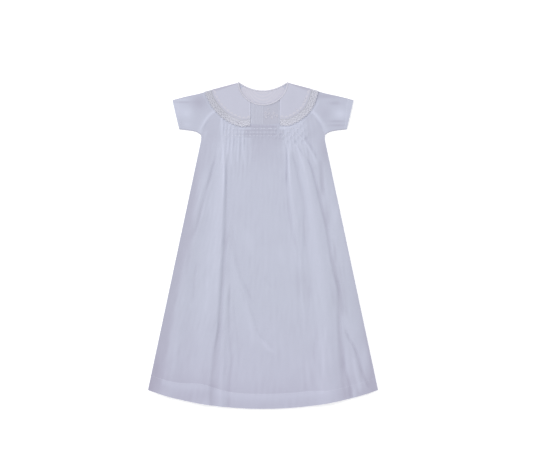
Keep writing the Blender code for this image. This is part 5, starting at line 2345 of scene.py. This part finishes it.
@dataclass(frozen=True)
class CollarEmbroidery(Piece):
    """Satin-stitch scallops and small flowers inside the lace."""

    surface: CollarSurface
    flowers: tuple[Point, ...]
    pitch: float = 10.6
    inset: float = 17.6
    rise: float = 3.0
    width: Point = (0.6, 4.4)
    height: float = 0.6
    petals: int = 6
    petal: Triple = (3.0, 1.5, 0.7)

    def build(self) -> None:
        """Makes the embroidery."""
        draft, length = Draft(), self.surface.length
        along = np.arange(0.8, length - 0.8, 0.8)
        arc = np.abs(np.sin(np.pi * along / (length / round(length / self.pitch))))
        points, out = self.surface.at(along, self.inset + self.rise * arc)
        # Satin darker overall, with painted shade towards the left shoulder.
        shade = -0.5 - 0.1 * smooth(-50.0, -75.0, points[:, 0])
        width = self.width[0] + self.width[1] * arc**2
        draft.add_tube(points + out * 0.02, width, self.height, out, tone=shade)
        length, wide, high = self.petal
        swell = wide * np.sin(np.pi * np.linspace(0.12, 0.88, 5))
        reach = np.linspace(0.8, length, 5)
        for centre_x, centre_y in self.flowers:
            for angle in turns(self.petals):
                x, y = centre_x + reach * math.cos(angle), centre_y + reach * math.sin(angle)
                z = 2.0 * COLLAR.top + COLLAR.climb(x, y) + 0.1
                draft.add_tube(np.stack((x, y, z), axis=1), swell, high)
        made = draft.build(f"collar_{self.surface.side.word}_embroidery", self.finishes.satin)
        settle(made, None, "collar")


@dataclass(frozen=True)
class NeckBinding(Piece):
    """The narrow bias strip along one half of the neck."""

    front: bool
    steps: int = 90
    profile: tuple[Point, ...] = (
        (0.02, 0.0), (0.0, 0.12), (0.06, 0.42), (0.18, 0.68), (0.36, 0.88), (0.58, 0.98),
        (0.78, 1.0), (0.93, 0.95), (1.0, 0.82), (1.0, 0.25), (0.98, 0.0),
    )

    def build(self) -> None:
        """Makes the strip."""
        t = np.linspace(0.0, 1.0, self.steps)
        line, place = PATTERN.front_neck, 180.0 * (1.0 - t)
        if not self.front:
            wide = PATTERN.neck_half_width
            line, place = PATTERN.back_neck, mix(-wide, wide, t)
        near, far = line(place, 0.0), line(place, PATTERN.neck_edge - 0.05)
        floor = 2.0 * LAYERS.layer if self.front else 0.0
        across, up = np.array(self.profile).T
        plan = near[:, None] + (far - near)[:, None] * across[None, :, None]
        z = np.broadcast_to(floor + (LAYERS.layer + LAYERS.cloth) * up, plan.shape[:2])
        rings = np.concatenate((plan, z[..., None]), axis=-1)
        # Painted light on the strip's outer side, against the shade on its wall.
        tone = np.tile(np.where(across > 0.9, 0.5, 0.1), self.steps)
        draft = Draft().add(rings, tube_faces(self.steps, len(across)), tone)
        name = f"neck_binding_{'front' if self.front else 'back'}"
        made = draft.build(f"{name}_strip", self.finishes.binding, 35.0)
        settle(made, name, "binding")


# ---------------------------------------------------------------- sewing that shows


@dataclass(frozen=True)
class YokeSpray(Piece):
    """The embroidered spray on the yoke: seven flowers along a curved stem with leaves."""

    stem: tuple[Point, ...] = (
        (1.5, 262.0), (8.0, 266.0), (15.0, 263.0), (22.0, 265.5), (30.0, 260.0),
    )
    flowers: tuple[Triple, ...] = (
        (5.0, 269.5, 2.4), (12.5, 268.5, 2.5), (22.0, 269.5, 2.3), (28.5, 264.0, 2.6),
        (6.0, 260.5, 2.3), (18.0, 259.5, 2.4), (11.0, 276.5, 2.0),
    )
    petals: int = 5
    raised: float = 0.2
    stitch: StitchKind = StitchKind(2.4, 1.0, 0.6, 0.15, 8)

    def build(self) -> None:
        """Makes the spray."""
        run = StitchRun("yoke_spray", self.stitch)
        line = through(self.stem, 60)
        run.along(self.over(line), 1.5)
        for k in range(4, 56, 6):
            heading = line[k + 1] - line[k]
            angle = math.atan2(heading[1], heading[0]) + (0.9 if k % 12 < 6 else -0.9)
            self.leaf(run, line[k], 2.3, angle, 0.9)
        for x, y, radius in self.flowers:
            for k in range(self.petals):
                angle = 2.0 * math.pi * (k + 0.3) / self.petals
                self.leaf(run, np.array((x, y)), radius * 0.72, angle, radius / 2.3)
            run.at(self.over(np.array([(x, y)])), (1.0, 0.0, 0.0), 0.7)
        run.build(self.finishes.satin, "yoke")

    def over(self, flat: Array) -> Array:
        """Lifts points on to the yoke."""
        return np.column_stack((flat, LAYERS.front_floor(*flat.T) + LAYERS.cloth + self.raised))

    def leaf(self, run: StitchRun, start: Array, out: float, angle: float, size: float) -> None:
        """Sets three satin stitches side by side as a leaf or petal.

        Args:
            run: Where they are added.
            start: Where it grows from.
            out: Distance of its middle from there.
            angle: Its direction.
            size: Length of its middle stitch as a share of the usual one.
        """
        heading = np.array((math.cos(angle), math.sin(angle)))
        across = np.array((-heading[1], heading[0]))
        places = np.array([start + heading * out + across * step * 0.5 for step in (-1, 0, 1)])
        run.at(self.over(places), (*heading, 0.0), np.array((0.75, 1.0, 0.75)) * size)


@dataclass(frozen=True)
class Seams(Piece):
    """Rows of stitches: smocking, hem, cuffs, neck and placket."""

    smocking_rows: Triple = (237.5, 230.3, 223.6)
    smocking: StitchKind = StitchKind(3.8, 1.2, 0.6, 0.2, 2)
    running: StitchKind = StitchKind(1.7, 0.42, 0.36, 0.1, 3)
    hole: StitchKind = StitchKind(1.6, 0.5, 0.4, 0.08, 6)
    hem_below: float = 1.5
    back_lie: float = 0.06
    running_pitch: float = 2.5
    neck_out: float = 2.3
    neck_pitch: float = 2.2
    cuff_share: float = 0.925

    def smocked(self) -> None:
        """Makes the rows that catch the pleats of the chest."""
        run = StitchRun("smocking_stitches", self.smocking)
        for row in self.smocking_rows:
            k = np.arange(-SHIRRING.each_side, SHIRRING.each_side, dtype=float)
            lean = SHIRRING.lean((k + 0.5) * SHIRRING.pitch_u, np.full_like(k, row), k)
            x = (k + 0.5 + lean) * SHIRRING.pitch_u * PATTERN.side_x(row)
            x = x[DRAPE.clear_of_collar(x, np.full_like(x, row)) > 0.9]
            y = np.full_like(x, row)
            run.at(np.column_stack((x, y, DRAPE.top(x, y) + 0.15)), (1.0, 0.0, 0.0))
        run.build(self.finishes.thread, "cotton")

    def hem(self) -> None:
        """Makes the rows that hold the front's hem and, on its underside, the back's."""
        run = StitchRun("hem_stitches", self.running)
        u = np.linspace(-0.985, 0.985, 900)
        x_hem = u * PATTERN.hem_half_width
        y = PATTERN.hem_y(x_hem) + PATTERN.front_hem_band(x_hem) - self.hem_below
        x = u * PATTERN.side_x(y)
        path = np.column_stack((x, y, DRAPE.top(x, y) + FrontPanel.hem_rise / 2.0))
        run.along(path, self.running_pitch)
        y = PATTERN.hem_y(x_hem) + PATTERN.hem_band - self.hem_below
        x = u * PATTERN.side_x(y)
        path = np.column_stack((x, y, LAYERS.back_lift(x, y) + self.back_lie))
        run.along(path, self.running_pitch)
        run.build(self.finishes.thread, "cotton")

    def cuff(self, sleeve: Sleeve) -> None:
        """Makes the row along a sleeve's cuff.

        Args:
            sleeve: The sleeve.
        """
        edges = sleeve.armhole(True), sleeve.armhole(False)
        path = sleeve.ring(self.cuff_share, edges, 0.0)[: len(edges[0])]
        run = StitchRun(f"cuff_{sleeve.side.word}_stitches", self.running)
        run.along(path * sleeve.side.mirror, self.running_pitch)
        run.build(self.finishes.thread, "cotton")

    def neck(self) -> None:
        """Makes the row round the neck binding."""
        run = StitchRun("neck_stitches", self.running)
        height = LAYERS.layer + LAYERS.cloth
        t = np.linspace(0.01, 0.99, 120)
        front = PATTERN.front_neck(180.0 * (1.0 - t), self.neck_out)
        back = PATTERN.back_neck(mix(-46.0, 46.0, t), self.neck_out)
        for line, level in ((front, 2.0 * LAYERS.layer + height), (back, height)):
            run.along(np.column_stack((line, np.full_like(t, level))), self.neck_pitch)
        run.build(self.finishes.thread, "binding")

    def placket(self, strip: Placket, buttons: Buttons) -> None:
        """Makes the rows along the placket, the worked buttonholes and the buttons' threads.

        Args:
            strip: The placket.
            buttons: The buttons.
        """
        run = StitchRun("placket_stitches", self.hole)

        def down(x: float, y: Array, rise: float) -> Array:
            """Points down the back's underside at one x."""
            x = np.full_like(y, x)
            return np.column_stack((x, y, LAYERS.back_lift(x, y) + rise))

        for x in (-strip.stitched_x, strip.stitched_x):
            y = np.linspace(strip.bottom + 2.0, 313.0, 120)
            run.along(down(x, y, self.back_lie), self.running_pitch)
        half = strip.hole_length / 2.0
        for centre in BUTTONS_Y:
            for x in (-1.3, 1.3):
                y = np.arange(-half, half + 0.1, 0.6) + centre
                run.at(down(x, y, 0.02), (1.0, 0.0, 0.0))
            reach = buttons.hole_out / math.sqrt(2.0)
            places = np.array([(x, centre, 0.28) for x in (-reach, reach)])
            run.at(places, (0.0, 1.0, 0.0), 1.6)
        run.build(self.finishes.thread, "cotton")


# ---------------------------------------------------------------- stage


@dataclass(frozen=True)
class Stage:
    """Pale floor, soft light from all round and a camera straight above, in metres."""

    floor_half: float = 12.0
    floor_drop: float = 0.0003
    sky: float = 0.93
    lamp_power: float = 36.0
    lamp_size: float = 2.4
    lamp_place: Triple = (-1.5, 1.9, 2.2)
    eye: Triple = (0.0071, 0.0183, 3.0095)
    lens: float = 100.0
    sensor: float = 36.0

    def build(self) -> None:
        """Makes the floor, the light and the camera."""
        scene = bpy.context.scene
        half, low = self.floor_half, -self.floor_drop
        mesh = bpy.data.meshes.new("floor")
        corners = [(-half, -half, low), (half, -half, low), (half, half, low), (-half, half, low)]
        mesh.from_pydata(corners, [], [(0, 1, 2, 3)])
        mesh.materials.append(FloorFinish().make())
        linked("floor", mesh)
        world = bpy.data.worlds.new("studio")
        world.use_nodes = True
        sky = world.node_tree.nodes["Background"].inputs
        sky["Color"].default_value = (*WHITE, 1.0)
        sky["Strength"].default_value = self.sky
        scene.world = world
        lamp = bpy.data.lights.new("window", "AREA")
        lamp.energy = self.lamp_power
        lamp.size = self.lamp_size
        light = linked("window", lamp)
        light.location = self.lamp_place
        light.rotation_euler = (-Vector(self.lamp_place)).to_track_quat("-Z", "Y").to_euler()
        camera = bpy.data.cameras.new("camera")
        camera.lens = self.lens
        camera.sensor_width = self.sensor
        scene.camera = linked("camera", camera)
        scene.camera.location = self.eye
        scene.view_settings.view_transform = "Standard"


def main() -> None:
    """Builds the gown piece by piece, then its stage."""
    logging.basicConfig(level=logging.INFO, format="%(name)s %(message)s")
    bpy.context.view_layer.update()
    finishes = Finishes()
    for kind in (FrontPanel, YokeInsert, YokeSpray, BackPanel):
        kind(finishes).build()
    strip, buttons, seams = Placket(finishes), Buttons(finishes), Seams(finishes)
    strip.build()
    buttons.build()
    flowers = {
        Side.LEFT: ((-51.8, 250.7),),
        Side.RIGHT: ((68.4, 276.0), (86.1, 298.3), (83.2, 290.4)),
    }
    for side in Side:
        sleeve = Sleeve(finishes, side)
        sleeve.build()
        seams.cuff(sleeve)
        surface = CollarSurface(side)
        CollarHalf(finishes, surface).build()
        CollarEmbroidery(finishes, surface, flowers[side]).build()
        LaceEdging(finishes, surface).build()
    NeckBinding(finishes, front=True).build()
    NeckBinding(finishes, front=False).build()
    seams.smocked()
    seams.hem()
    seams.neck()
    seams.placket(strip, buttons)
    Stage().build()


if __name__ == "__main__":
    main()
